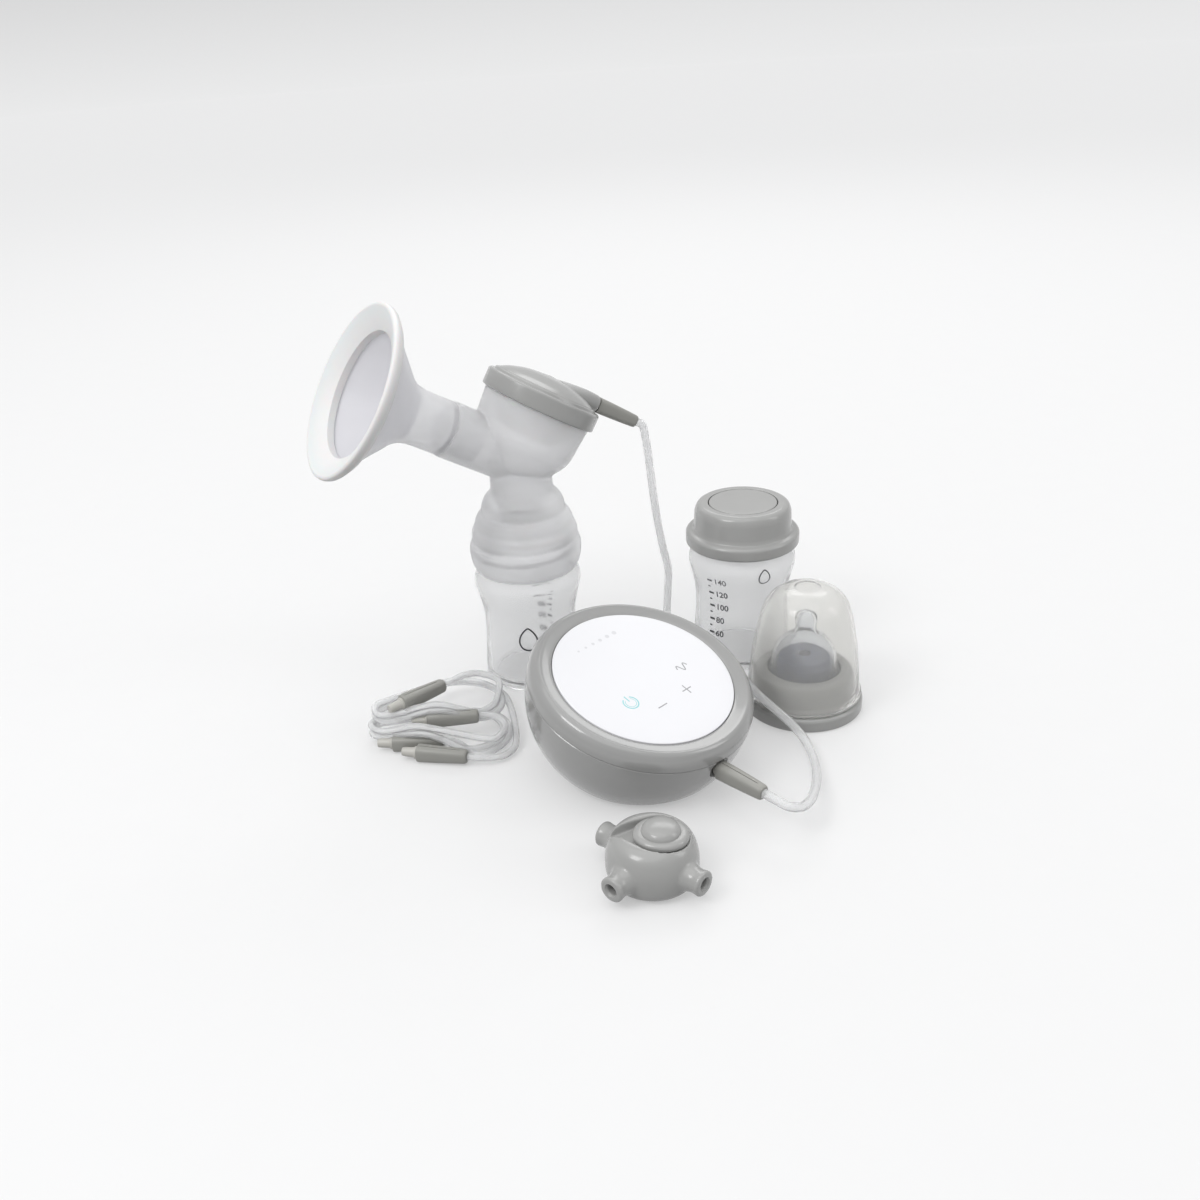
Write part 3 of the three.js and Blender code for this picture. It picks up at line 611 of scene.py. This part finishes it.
bezel = rounded([
    [PANEL_RADIUS + 0.35, 0.9], [PANEL_RADIUS + 0.35, 3.5, 0.4], [PANEL_RADIUS + 1.5, 4.0, 0.5],
    [51.6, 4.55, 1.2], [53.0, 4.95, 1.1], [54.6, 4.2, 1.4], [56.5, 1.9, 2.4], [57.6, -0.6, 2.2],
    [58.0, -3.55, 0.3], [57.75, -4.0], [55.5, -4.0], [55.2, -2.4], [53.2, 0.2], [50.5, 1.2], [48.2, -0.7],
    [43, -0.7], [43, 0.9],
], 7)
lathe("bezel_ring", bezel, grey_shell, "grey_plastic", "root", unit_place, ["top_bezel"], FINEST)
panel = rounded([[0, 1.2], [PANEL_RADIUS, 1.2], [PANEL_RADIUS, 4.0, 0.5], [40, PANEL_TOP, 3], [0, PANEL_TOP]])
lathe("panel_disc", panel, panel_white, "white_panel", "root", unit_place, ["touch_panel"], FINEST)
plate_profile = [[0, FLAT_BASE], [33.4, FLAT_BASE], [33.4, 4.4, 0.4], [0, 4.5]]
lathe("base_plate_disc", rounded(plate_profile), grey, "grey_plastic", "root", Matrix(), ["base_plate"])
pad_profile = [[0, 0], [37.4, 0, 0.3], [38, 0.4, 0.3], [38, 1.2, 0.2], [36.5, 1.2], [0, 1.2]]
lathe("base_pad_disc", rounded(pad_profile), rubber, "grey_rubber", "root", Matrix(), ["base_pad"])

port_profile = rounded([
    [3.2, PORT_FACE - 8.6], [3.2, PORT_FACE - 0.9, 0.3], [3.6, PORT_FACE - 0.6, 0.2],
    [4.6, PORT_FACE - 0.6, 0.3], [4.9, PORT_FACE - 1.0, 0.3], [4.9, 41], [2, 41], [2, 40.5], [0.9, 40.5],
    [0.9, PORT_FACE - 8.6],
])
lathe("air_port_ring", port_profile, dark_plastic, "dark_plastic", "root",
      along(PORT_AZIMUTH, 0, PORT_HEIGHT), ["air_port"], SMALL)
socket = piece("charging_port", *loft([superellipse(4, 6, 6, z, socket_place) for z in (46, 54.6, 55)]),
               black_plastic, "black_plastic", "root", ["charging_socket"])
combined(socket, tool(*loft([superellipse(1.6, 4.5, 8, z, socket_place) for z in (49, 60)])), "DIFFERENCE")
finished(socket, black_plastic)

# Icons on the panel. Their right is level, and their top points to the panel's high side.
icon_place = unit_place @ move(0, 0, PANEL_TOP) @ turn(UNIT_LOW_SIDE + 90)
ICON_HEIGHT = 0.05


def icon(name, outlines, finish, x, y):
    """A thin printed mark: closed outlines in millimetres, each filled."""
    place = icon_place @ move(x, y, 0)
    vertices, faces = [], []
    for outline in outlines:
        rings = [[place @ (Vector((px, py, z)) * MM) for px, py in outline] for z in (-0.02, ICON_HEIGHT)]
        ring_vertices, ring_faces = loft(rings)
        faces += [[i + len(vertices) for i in face] for face in ring_faces]
        vertices += ring_vertices
    piece(name, vertices, faces, finish, "white_panel", "root")


def bar(x0, y0, x1, y1):
    return [(x0, y0), (x1, y0), (x1, y1), (x0, y1)]


def band(points, width):
    """The outline of a line of this width through the points."""
    line = [Vector(p) for p in points]
    sides = [[], []]
    for i, p in enumerate(line):
        heading = (line[min(i + 1, len(line) - 1)] - line[max(i - 1, 0)]).normalized()
        offset = Vector((-heading.y, heading.x)) * width / 2
        sides[0].append(p + offset)
        sides[1].append(p - offset)
    return [(p.x, p.y) for p in sides[0] + sides[1][::-1]]


def arc_points(radius, start, end, count, x=0.0):
    """Points on an arc round (x, 0), between two angles in degrees."""
    angles = [radians(start + (end - start) * k / count) for k in range(count + 1)]
    return [(x + radius * cos(angle), radius * sin(angle)) for angle in angles]


LINE = 0.6
icon("icon_power", [band(arc_points(3.9, 122, 418, 40), LINE), band(arc_points(2.8, 128, 412, 36), 0.25),
                    bar(-LINE / 2, 1.0, LINE / 2, 4.9)], teal_ink, -19.8, -9.9)
icon("icon_less", [bar(-3.1, -LINE / 2, 3.1, LINE / 2)], grey_ink, -7.9, -20.4)
icon("icon_more", [bar(-3.1, -LINE / 2, 3.1, LINE / 2), bar(-LINE / 2, LINE / 2, LINE / 2, 3.1),
                   bar(-LINE / 2, -3.1, LINE / 2, -LINE / 2)], grey_ink, 11.2, -19.3)
wave_line = [(-3.6 + 7.2 * k / 30, 2.1 * sin(2 * pi * k / 30 * 1.5)) for k in range(31)]
icon("icon_mode", [band(wave_line, LINE)], grey_ink, 21.5, -7.2)
level_dots = [arc_points(0.65 + 0.13 * k, 0, 345, 15, 5.2 * k - 13) for k in range(6)]
icon("icon_levels", level_dots, pale_ink, -2.6, 31)

# ---------------------------------------------------------------- bottles
BOTTLE_PROFILE = [
    [0, 1.2], [20.5, 1.2, 0.8], [22.6, 0, 0.9], [25.6, 0, 1.4], [27.4, 1.6, 1.6], [27.6, 6, 5],
    [26.6, 20, 10], [26.0, 34, 10], [26.5, 44, 6], [28.6, 53.5, 5], [30.4, 60, 4], [30.1, 65, 2.4],
    [28.0, 68.3, 1.2], [24.6, 69.2, 0.6], [24.6, 88, 0.7], [22.6, 88, 0.6], [22.6, 68, 2],
    [28.4, 62.5, 2.5], [28.4, 58.5, 4], [24.5, 44, 6], [24, 34, 10], [25.2, 6, 3], [22.5, 3.3, 2], [0, 3.4],
]
WAIST = [(0, 27.4), (6, 27.6), (20, 26.7), (34, 26.08), (44, 26.6), (53.5, 28.4), (58, 29.6),
         (60.5, 30.3), (65, 30.0)]
THREAD_PITCH = 6
INK_PROUD = 0.15


def wall_radius(z):
    for (z0, r0), (z1, r1) in zip(WAIST, WAIST[1:]):
        if z <= z1:
            return r0 + (r1 - r0) * (z - z0) / (z1 - z0)
    return WAIST[-1][1]


def thread(name, place, radius, depth, z0, turns, finish, slot, body):
    """A rounded screw thread that fades in and out at its ends."""
    rings = []
    count = int(turns * 56)
    for k in range(count + 1):
        angle = 2 * pi * turns * k / count
        fade = min(1, k / 8, (count - k) / 8)
        section = ((-0.2, -1.1), (0.35 * fade, -0.7), (fade, -0.2),
                   (fade, 0.2), (0.35 * fade, 0.7), (-0.2, 1.1))
        ring = []
        for dr, dz in section:
            r = radius + depth * dr
            z = z0 + THREAD_PITCH * angle / (2 * pi) + dz
            ring.append(place @ (Vector((r * cos(angle), r * sin(angle), z)) * MM))
        rings.append(ring)
    piece(name, *loft(rings), finish, slot, body)


def on_wall(place, azimuth, outline, z):
    """Rings of a mark on a bottle's wall: its outline is laid round the bottle at this azimuth and height."""
    rings = []
    for proud in (-0.05, INK_PROUD):
        ring = []
        for x, y in outline:
            r = wall_radius(z + y) + proud
            angle = radians(azimuth) + x / r
            ring.append(place @ (Vector((r * cos(angle), r * sin(angle), z + y)) * MM))
        rings.append(ring)
    return loft(rings)


def wall_marks(name, place, marks, body):
    """One piece from marks of (azimuth, height, outline)."""
    vertices, faces = [], []
    for azimuth, z, outline in marks:
        mark_vertices, mark_faces = on_wall(place, azimuth, outline, z)
        faces += [[i + len(vertices) for i in face] for face in mark_faces]
        vertices += mark_vertices
    piece(name, vertices, faces, ink, "clear_plastic", body)


DIGIT_HEIGHT = 3.7


def digits(name, text, place, azimuth, z, body):
    """A number laid on a bottle's wall, in the built-in font."""
    font = bpy.data.curves.new(name, "FONT")
    font.body, font.size, font.align_x, font.resolution_u = text, DIGIT_HEIGHT * 1.38, "LEFT", 3
    font.offset = 0.09
    written = bpy.data.objects.new("written", font)
    bpy.context.scene.collection.objects.link(written)
    mesh = bpy.data.meshes.new_from_object(written.evaluated_get(bpy.context.evaluated_depsgraph_get()))
    bpy.data.objects.remove(written)
    vertices = []
    for v in mesh.vertices:
        height = z - DIGIT_HEIGHT / 2 + v.co.y
        r = wall_radius(height) + INK_PROUD
        angle = radians(azimuth) + v.co.x / r
        vertices.append(place @ (Vector((r * cos(angle), r * sin(angle), height)) * MM))
    piece(name, vertices, [list(p.vertices) for p in mesh.polygons], ink, "clear_plastic", body)


SCALE_STEP, SCALE_TOP = 8.5, 56.8  # millimetres of height between two numbers, and at the highest
VOLUMES = range(140, 0, -20)
DIGITS_TURN = 5.6  # degrees from the bars to the numbers


def scale(name, place, azimuth, body):
    """Volume marks: a bold bar every 20 ml with its number, a short one between."""
    bars = []
    for k, volume in enumerate(VOLUMES):
        z = SCALE_TOP - SCALE_STEP * k
        bars.append((azimuth, z, bar(-1.6, -0.6, 1.6, 0.6)))
        if volume > VOLUMES[-1]:
            bars.append((azimuth, z - SCALE_STEP / 2, bar(-1.6, -0.4, 0, 0.4)))
        digits(f"{name}_{volume}", str(volume), place, azimuth + DIGITS_TURN, z, body)
    wall_marks(f"{name}_bars", place, bars, body)


def drop_mark(name, place, azimuth, z, width, height, line, body):
    """A plain drop drawn on a bottle's wall as a closed band, in two halves."""
    halves = []
    for side in (-1, 1):
        curve = []
        for k in range(25):
            t = pi * k / 24
            curve.append((side * width / 2 * sin(t) * sin(t / 2) ** 0.6 * 1.1, height / 2 * cos(t)))
        halves.append((azimuth, z, band(curve, line)))
    wall_marks(name, place, halves, body)


def bottle(name, place, body, node):
    lathe(name, rounded(BOTTLE_PROFILE, 6), bottle_clear, "clear_plastic", body, place, [node], FINE)
    thread(f"{name}_thread", place, 24.6, 0.8, 74.5, 1.6, bottle_clear, "clear_plastic", body)


bottle("storage_bottle_clear", storage_place, "storage_bottle", "storage_bottle")
scale("storage_scale", storage_place, 222, "storage_bottle")
drop_mark("storage_drop_mark", storage_place, 284, 61, 7, 8.5, 0.6, "storage_bottle")
bottle("feeding_bottle_clear", kit_place, "feeding_bottle", "feeding_bottle")
scale("feeding_scale", kit_place, 40, "feeding_bottle")
drop_mark("feeding_drop_mark", kit_place, 243, 34, 11, 14, 0.9, "feeding_bottle")

# ---------------------------------------------------------------- collars, lid, teat and cover
COLLAR_PROFILE = [
    [28.2, 0], [31.2, 0, 0.6], [32, 0.9, 0.7], [32, 6.4, 1.0], [30.9, 7.6, 0.8], [28.3, 8.2, 0.6],
    [27.6, 10, 1.2], [27.1, 19.6, 3], [25.7, 22.7, 1.6], [23.2, 23.75, 0.6], [19.6, 23.75, 0.5],
    [19.5, 22.8], [19.5, 19.3], [25.6, 19.3, 0.4], [25.6, 2.5, 0.3], [28.2, 2.5, 0.3],
]


def collar(name, place, body, node):
    lathe(name, rounded(COLLAR_PROFILE, 6), grey, "grey_plastic", body, place, [node], FINE)
    thread(f"{name}_thread", place, 25.62, -0.62, 5, 1.4, grey, "grey_plastic", body)


lid_place = storage_place @ move(0, 0, COLLAR_LIFT)
collar("storage_collar_fine", lid_place, "storage_collar", "storage_collar")
disc_profile = [
    [0, 17], [24.8, 17, 0.3], [24.8, 19, 0.3], [19.1, 19, 0.2], [19.1, 23.3, 0.4], [18.7, 23.75, 0.3],
    [12, 23.95, 4], [0, 24.0],
]
lathe("storage_disc_fine", rounded(disc_profile), grey, "grey_plastic", "storage_disc", lid_place,
      ["storage_disc"], FINE)
collar("teat_collar_fine", teat_place, "teat_set", "teat_collar")
teat_profile = [
    [17.6, 17], [24.8, 17, 0.3], [24.8, 19, 0.3], [19.1, 19, 0.3], [19.1, 23, 0.8], [18.1, 24.5, 0.6],
    [17.7, 27, 2], [17.2, 31, 4], [15.2, 36.5, 5], [11, 41.3, 4], [6.6, 44, 2.4], [5.4, 46.6, 1.8],
    [5.5, 50, 1.5], [6, 52.7, 1.6], [5, 55.2, 1.4], [2.4, 56.6, 1.6], [0, 56.8], [0, 55.2], [2, 54.8, 1],
    [4.2, 52.2, 1.5], [3.9, 46.6, 2], [5.6, 43, 2], [9.8, 40.2, 4], [13.8, 35.6, 4], [15.7, 30.6, 3],
    [16.2, 26, 2], [16.6, 23.6, 0.5], [17.6, 22, 0.5],
]
vent_profile = [
    [13.2, 17], [17.3, 17, 0.3], [17.3, 18.4, 0.3], [15.3, 18.8, 0.3], [15.3, 26.8, 1], [13.4, 30.4, 1],
    [3.2, 31.2, 0.3], [3.2, 29.8, 0.3], [12.6, 29, 1], [13.9, 26.2, 0.6], [13.9, 18.4, 0.3],
]
# The vent's dark blue colour is painted shade, for the collar's dark inside seen through the teat.
lathe("teat_vent_painted_shade", rounded(vent_profile), vent_painted_shade, "tinted_plastic", "teat_set", teat_place,
      ["teat_vent"])
lathe("teat_soft", rounded(teat_profile), teat_silicone, "clear_silicone", "teat_set", teat_place,
      ["teat"], FINE)
dome_profile = [
    [28.1, 8.7], [30.9, 8.7, 0.4], [31.1, 10.6, 0.7], [29.9, 12.4, 1.2], [29.4, 20, 6], [28.2, 32, 8],
    [26.6, 43, 8], [24.6, 53, 6], [22.2, 61, 5], [18.6, 66.4, 4], [13, 69.9, 4], [7, 71.0, 1.2],
    [6.3, 70.6, 0.4], [0, 71.1], [0, 69.7], [7.4, 69.4, 2], [12.8, 68.4, 3], [17.8, 65.2, 4],
    [20.8, 60.3, 5], [23.3, 52.6, 6], [25.3, 42.7, 8], [26.9, 31.8, 8], [28.1, 20, 6],
]
lathe("dome_cover_clear", rounded(dome_profile, 6), dome_clear, "clear_plastic", "dome_cover", teat_place,
      ["dome_cover"], FINE)

# ---------------------------------------------------------------- pump kit
skirt_outer = [
    [0, 69.3], [27.4, 69.3], [28.4, 69.3, 0.3], [30.2, 72.2, 1.6], [31.3, 77, 2.6], [31.6, 81.5, 1.8],
    [30.6, 85.4, 1.2], [29.2, 86.3, 0.5], [29.9, 89.0, 1.2], [29.2, 92.6, 1.6], [27.7, 95.2, 0.9],
    [27.1, 98.2, 1.4], [25.3, 101.4, 1.4], [23.2, 102.6, 0.6], [23.3, 105.6, 1.6], [21.6, 110.6, 2.4],
    [17.4, 114.6, 2.2], [17.2, 120, 3], [17.2, 133], [0, 133],
]
cup_outer = [
    [0, -41], [12, -40, 4], [20, -34.6, 5], [26.3, -26.5, 4], [28.6, -21, 3], [29.4, -10, 5], [30.3, -0.4],
    [0, -0.4],
]
TUNNEL_OUTER, TUNNEL_SOCKET = 15.2, 48
body = lathe("pump_body_frosted", rounded(skirt_outer, 6), frosted, "frosted_plastic", "root", kit_place,
             ["pump_body"])
combined(body, tool(*turned(rounded(cup_outer, 6), cup_place)), "UNION")
combined(body, tool(*turned([[0, 0], [TUNNEL_OUTER, 0], [TUNNEL_OUTER, TUNNEL_SOCKET], [0, TUNNEL_SOCKET]],
                            tunnel_place)), "UNION")
FILLET_BAND = (0.112, 0.150)  # metres: the heights where the neck, cup and tunnel join
blended(body, voxel_mm=0.75, passes=10, keep=lambda point: not FILLET_BAND[0] < point.z < FILLET_BAND[1])
cup_inner = [[0, -38.8], [11.5, -37.8, 4], [18.8, -33, 5], [24.6, -25.8, 4], [26.5, -20.6, 3], [27.2, -10, 5],
             [28.1, 1], [28.1, 6], [0, 6]]
combined(body, tool(*turned(rounded(cup_inner), cup_place)), "DIFFERENCE")
skirt_inner = [
    [0, 60], [26.6, 60], [26.6, 71, 0.5], [25.65, 72, 0.5], [25.65, 90, 1.4], [24, 96, 1.4], [20, 102, 1],
    [0, 102],
]
combined(body, tool(*turned(rounded(skirt_inner), kit_place)), "DIFFERENCE")
neck_inner = [[0, 106], [13, 106, 1], [14.8, 110, 1], [14.8, 128, 2], [0, 133]]
combined(body, tool(*turned(rounded(neck_inner), kit_place)), "DIFFERENCE")
combined(body, tool(*turned([[0, 14], [12.8, 14], [12.8, 70], [0, 70]], tunnel_place)), "DIFFERENCE")
combined(body, tool(*turned([[0, 90], [3.4, 90], [3.4, 110], [0, 110]], kit_place, SMALL)), "DIFFERENCE")
combined(body, tool(*turned([[3.4, 94], [6, 94], [6, 104], [3.4, 104]], kit_place, SMALL)), "UNION")
finished(body, frosted)
thread("pump_body_thread", kit_place, 25.64, -0.6, 75, 1.6, frosted, "frosted_plastic", "root")

valve_rings = []
for z, half_x, half_y, power in ((100.5, 8, 8, 2), (92.3, 8, 8, 2), (90, 6.5, 6.4, 2), (86, 5.4, 4.4, 2.2),
                                 (82, 4.4, 2.4, 2.6), (79.2, 3.9, 0.9, 4), (78.6, 3.8, 0.6, 5)):
    valve_rings.append(superellipse(half_x, half_y, power, z, kit_place))
bore_sections = ((102, 6.3, 6.3), (92, 6.3, 6.3), (82.5, 2.6, 1))
valve_bore = [superellipse(half_x, half_y, 2, z, kit_place) for z, half_x, half_y in bore_sections]
valve = piece("duckbill_soft", *loft(valve_rings), silicone, "white_silicone", "root", ["duckbill_valve"])
combined(valve, tool(*loft(valve_bore)), "DIFFERENCE")
finished(valve, silicone)

RIM = 8.3
cap_profile = [
    [30.7, -1.4], [32.1, -1.4, 0.4], [32.5, -0.8, 0.4], [32.5, RIM - 0.9, 0.7], [31.6, RIM, 0.5],
    [30.4, RIM + 0.15], [30.0, RIM - 0.5, 0.2], [29.6, RIM + 0.3, 0.2], [29.0, RIM + 1.5, 0.5],
    [28.0, RIM + 1.75, 0.3], [27.6, RIM + 1.2, 0.2], [27.2, RIM + 2.0, 0.3], [23, RIM + 4.2, 6],
    [14, RIM + 7, 8], [0, 16.6], [0, 14.4], [13.6, RIM + 4.8, 6], [22.4, RIM + 2.1, 4], [28.6, RIM - 1.8],
    [30.7, RIM - 2.6],
]
cap = lathe("kit_cap_fine", rounded(cap_profile, 6), grey, "grey_plastic", "root", cup_place, ["kit_cap"],
            FINE)
fairing = []
for reach, half_width, half_height, drop in ((6, 13, 4.0, -0.4), (12, 11.6, 4.8, -0.4), (18, 9.8, 5.2, -0.3),
                                             (24, 7.8, 5.3, -0.1), (28.5, 6.2, 5.0, 0), (31.6, 5.2, 4.8, 0),
                                             (32.2, 4.7, 4.4, 0)):
    place = cup_place @ move(reach, 0, SPOUT_HEIGHT + drop) @ turn(90, "Y")
    fairing.append(superellipse(half_height, half_width, 2.3, 0, place))
hollow = rounded([[0, 0], [28.4, 0], [28.4, RIM - 1.9], [22.3, RIM + 2], [13.5, RIM + 4.7], [0, 14.3]])
spout = tool(*loft(fairing))
combined(spout, tool(*turned(hollow, cup_place)), "DIFFERENCE")
combined(cap, spout, "UNION")
bore_place = cup_place @ move(0, 0, SPOUT_HEIGHT) @ turn(90, "Y")
spout_bore = [[0, SPOUT_END - 9], [3.2, SPOUT_END - 9], [3.2, 40], [0, 40]]
combined(cap, tool(*turned(spout_bore, bore_place, SMALL)), "DIFFERENCE")
finished(cap, grey)

membrane_profile = [
    [0, -17.4], [17, -17, 2], [24.5, -3, 2], [26, 0.2, 0.6], [29.6, 0.2, 0.3], [29.6, 1.7, 0.3],
    [25, 1.7, 0.6], [23, -1.6, 1.4], [16.2, -15.4, 2], [0, -15.8],
]
lathe("membrane_soft", rounded(membrane_profile), silicone, "white_silicone", "root", cup_place,
      ["pump_membrane"])

shield_profile = [
    [10.6, 30], [12.4, 30, 0.3], [12.4, 48.15, 0.2], [14.7, 48.15, 0.25], [14.6, 62, 4], [15.0, 68, 5],
    [17.4, 75, 4], [28.5, 86.2, 8], [37, 94.7, 8], [44.6, 102.1], [43.3, 103.3], [35.7, 96, 8],
    [27.2, 87.5, 8], [17, 77.4, 4], [13.6, 72.8, 3], [12.4, 67, 3], [12.4, 50, 1], [10.6, 47.4, 1],
]
shield = lathe("shield_frosted", rounded(shield_profile, 6), frosted_cone_painted_shade, "frosted_plastic", "shield",
               tunnel_place, ["breast_shield"], FINE)
shield.data.materials.append(frosted)  # the sleeve and the outside keep the body's frosted plastic; the cone's mouthward faces keep the darker copy, which is painted shade
mouthward = (tunnel_place.to_3x3() @ Vector((0, 0, 1))).normalized()
# Faces turned towards the mouth take the darker copy: painted shade inside the cone.
for face in shield.data.polygons:
    face.material_index = int(face.normal.dot(mouthward) < 0.3)
cushion_profile = [
    [33.7, 98.9, 0.4], [33.4, 95.1, 0.4], [34.6, 95.3, 0.4], [43, 103.7, 0.5], [44, 103.9, 0.4],
    [45.2, 102.6, 0.4], [45, 101.8, 0.4], [41.8, 98.6, 0.4], [42.8, 97.5, 0.5], [46.2, 100.4, 1.2],
    [46.9, 102.6, 0.9], [46.6, 104.2, 0.7], [45.2, 104.8, 1.2], [40, 102.7, 5], [35.6, 100.2, 2],
]
lathe("cushion_soft", rounded(cushion_profile, 6), silicone, "white_silicone",
      "shield", tunnel_place, ["shield_cushion"], FINE)

# ---------------------------------------------------------------- splitter
PORT_LEVEL, PORT_BORE, PORT_REACH, PORTS = 10.5, 2.6, 29, (135, 225, 315)
POINTER, POINTER_DIP = 165, 10  # the azimuth of the knob's long axis and its recess, and the recess's dip
knob_place = standing_at("selector_knob") @ turn(POINTER)
hub_profile = [
    [0, 0.4], [16.4, 0.4, 1], [19.6, 1.8, 2], [21, 5, 3], [21.3, 10, 4], [20.9, 15, 4], [19.6, 19.6, 4],
    [17.4, 22.9, 3], [14, 25.0, 3], [0, 25.5],
]
hub = lathe("splitter_hub", rounded(hub_profile), grey, "grey_plastic", "splitter", splitter_place,
            ["splitter_body"])
port_shape = rounded([[0, 8], [10.2, 14, 3], [6.6, 21, 4], [5.5, 24.5, 2], [6.2, PORT_REACH - 0.7, 0.6],
                      [5.8, PORT_REACH, 0.3], [0, PORT_REACH]])
for azimuth in PORTS:
    combined(hub, tool(*turned(port_shape, splitter_place @ along(azimuth, 0, PORT_LEVEL), SMALL)), "UNION")
recess_place = knob_place @ move(0, 0, 22.6) @ turn(POINTER_DIP, "Y")
recess = [hank_turn(k / 96, (23, 0), 1, (0, 0), 12.7) for k in range(96)]  # a teardrop
combined(hub, tool(*loft([[recess_place @ (Vector((x, y, z)) * MM) for x, y in recess] for z in (0, 9)])),
         "DIFFERENCE")
combined(hub, tool(*turned([[0, 22], [12.9, 22], [13.3, 30], [0, 30]], knob_place)), "DIFFERENCE")
blended(hub, voxel_mm=0.45, passes=12)
for azimuth in PORTS:
    bore = rounded([[0, 5], [PORT_BORE, 5], [PORT_BORE, PORT_REACH - 1.2, 0.4],
                    [PORT_BORE + 0.9, PORT_REACH + 0.2], [PORT_BORE + 0.9, 40], [0, 40]])
    combined(hub, tool(*turned(bore, splitter_place @ along(azimuth, 0, PORT_LEVEL), SMALL)), "DIFFERENCE")
chamber = [[0, 2], [10, 2], [10, 17], [3.3, 17], [3.3, 30], [0, 30]]
combined(hub, tool(*turned(chamber, knob_place, SMALL)), "DIFFERENCE")
foot_seat = [[0, -1], [17.4, -1], [17.4, 2.8], [0, 2.8]]
combined(hub, tool(*turned(foot_seat, splitter_place, SMALL)), "DIFFERENCE")
finished(hub, grey)
base_profile = [[0, 0], [16.6, 0, 0.3], [17, 0.4, 0.3], [17, 2.5, 0.2], [0, 2.5]]
lathe("splitter_foot", rounded(base_profile), grey, "grey_plastic", "splitter", splitter_place,
      ["splitter_base"])

KNOB_LONG, KNOB_WIDE = 1.156, 1.046
skirt_shape = [[10.2, 22.5], [10.9, 22.9, 0.4], [10.9, 24.6, 0.9], [10.1, 25.6, 0.8], [9.0, 26.0, 0.4]]
crown_shape = [[8.9, 26.0], [8.7, 27.0, 0.8], [7.4, 28.7, 2], [4, 29.7, 3], [0.3, 30]]
skirt_rings = [superellipse(r * KNOB_LONG, r * KNOB_WIDE, 2.1, z, knob_place, 72)
               for r, z in rounded(skirt_shape, 4)]
crown_rings = [superellipse(r, r, 2, z, knob_place, 72) for r, z in rounded(crown_shape, 5)]
knob = piece("selector_knob_fine", *loft(skirt_rings + crown_rings), grey, "grey_plastic", "selector",
             ["selector_knob"])
stem_rings = [superellipse(2, 2, 2, z, knob_place, 24) for z in (15, 22.6)]
combined(knob, tool(*loft(stem_rings)), "UNION")
finished(knob, grey)

# ---------------------------------------------------------------- floor and light
FLOOR_RADIUS, WALL_CURVE, WALL_HEIGHT = 6.3, 0.8, 3.5  # metres
FLOOR_DROP = 0.0002  # metres below the object's feet
FLOOR_GLOW = 0.36
floor_paint = moulded("floor_paint", (0.46, 0.46, 0.46), 0.8, spread=0.004, grain=2, grain_depth=0.005)
floor_shader = floor_paint.node_tree.nodes["Principled BSDF"]
floor_shader.inputs["Emission Color"].default_value = (1, 1, 1, 1)
floor_shader.inputs["Emission Strength"].default_value = FLOOR_GLOW


def stage_ring(name, profile):
    """A part of the set, from a profile in metres turned round +Z."""
    angles = [2 * pi * k / ROUND for k in range(ROUND)]
    rings = [[(r * cos(angle), r * sin(angle), z - FLOOR_DROP) for angle in angles] for r, z in profile]
    mesh = bpy.data.meshes.new(name)
    vertices, faces = loft(rings, closed_ends=False)
    mesh.from_pydata(vertices, [], faces)
    mesh.shade_smooth()
    mesh.materials.append(floor_paint)
    made = bpy.data.objects.new(name, mesh)
    bpy.context.scene.collection.objects.link(made)
    made.visible_diffuse = False  # the table's bounce comes from the dimmer lower half of the world
    return made


stage_ring("floor", [(0.001, 0), (FLOOR_RADIUS, 0)])
curve_angles = [pi / 2 * k / 24 for k in range(25)]
backdrop = stage_ring("backdrop", [
    *((FLOOR_RADIUS + WALL_CURVE * sin(a), WALL_CURVE * (1 - cos(a))) for a in curve_angles),
    (FLOOR_RADIUS + WALL_CURVE, WALL_HEIGHT)])
backdrop.visible_shadow = False  # the world's light passes through it


def softbox(name, watts, size, position, target):
    light = bpy.data.lights.new(name, "AREA")
    light.shape, light.size, light.size_y, light.energy = "RECTANGLE", size[0], size[1], watts
    lamp = bpy.data.objects.new(name, light)
    lamp.location = position
    lamp.rotation_mode = "QUATERNION"
    lamp.rotation_quaternion = (Vector(target) - Vector(position)).to_track_quat("-Z", "Y")
    bpy.context.scene.collection.objects.link(lamp)


middle = (-0.03, 0.03, 0.06)
softbox("key", 9, (0.7, 0.7), (-1.1, -0.7, 1.4), middle)
softbox("back", 6, (1.4, 0.6), (0.3, 1.5, 1.4), middle)
softbox("side", 3, (0.5, 0.9), (1.4, -0.3, 0.9), middle)
sun_data = bpy.data.lights.new("ceiling", "SUN")
sun_data.energy, sun_data.angle = 0.8, radians(70)
sun = bpy.data.objects.new("ceiling", sun_data)
sun.rotation_euler = (radians(12), radians(-14), 0)
bpy.context.scene.collection.objects.link(sun)

world = bpy.data.worlds.new("studio")
bpy.context.scene.world = world
world.use_nodes = True
sky = world.node_tree.nodes["Background"]
direction = world.node_tree.nodes.new("ShaderNodeTexCoord")
height = world.node_tree.nodes.new("ShaderNodeSeparateXYZ")
world.node_tree.links.new(direction.outputs["Generated"], height.inputs["Vector"])
ramp = world.node_tree.nodes.new("ShaderNodeMapRange")
for socket, value in (("From Min", -0.15), ("From Max", 0.15), ("To Min", 0.34), ("To Max", 0.71)):
    ramp.inputs[socket].default_value = value
world.node_tree.links.new(height.outputs["Z"], ramp.inputs["Value"])
world.node_tree.links.new(ramp.outputs["Result"], sky.inputs["Strength"])
sky.inputs["Color"].default_value = (0.985, 0.99, 1.0, 1)
bpy.context.scene.view_settings.view_transform = "Standard"
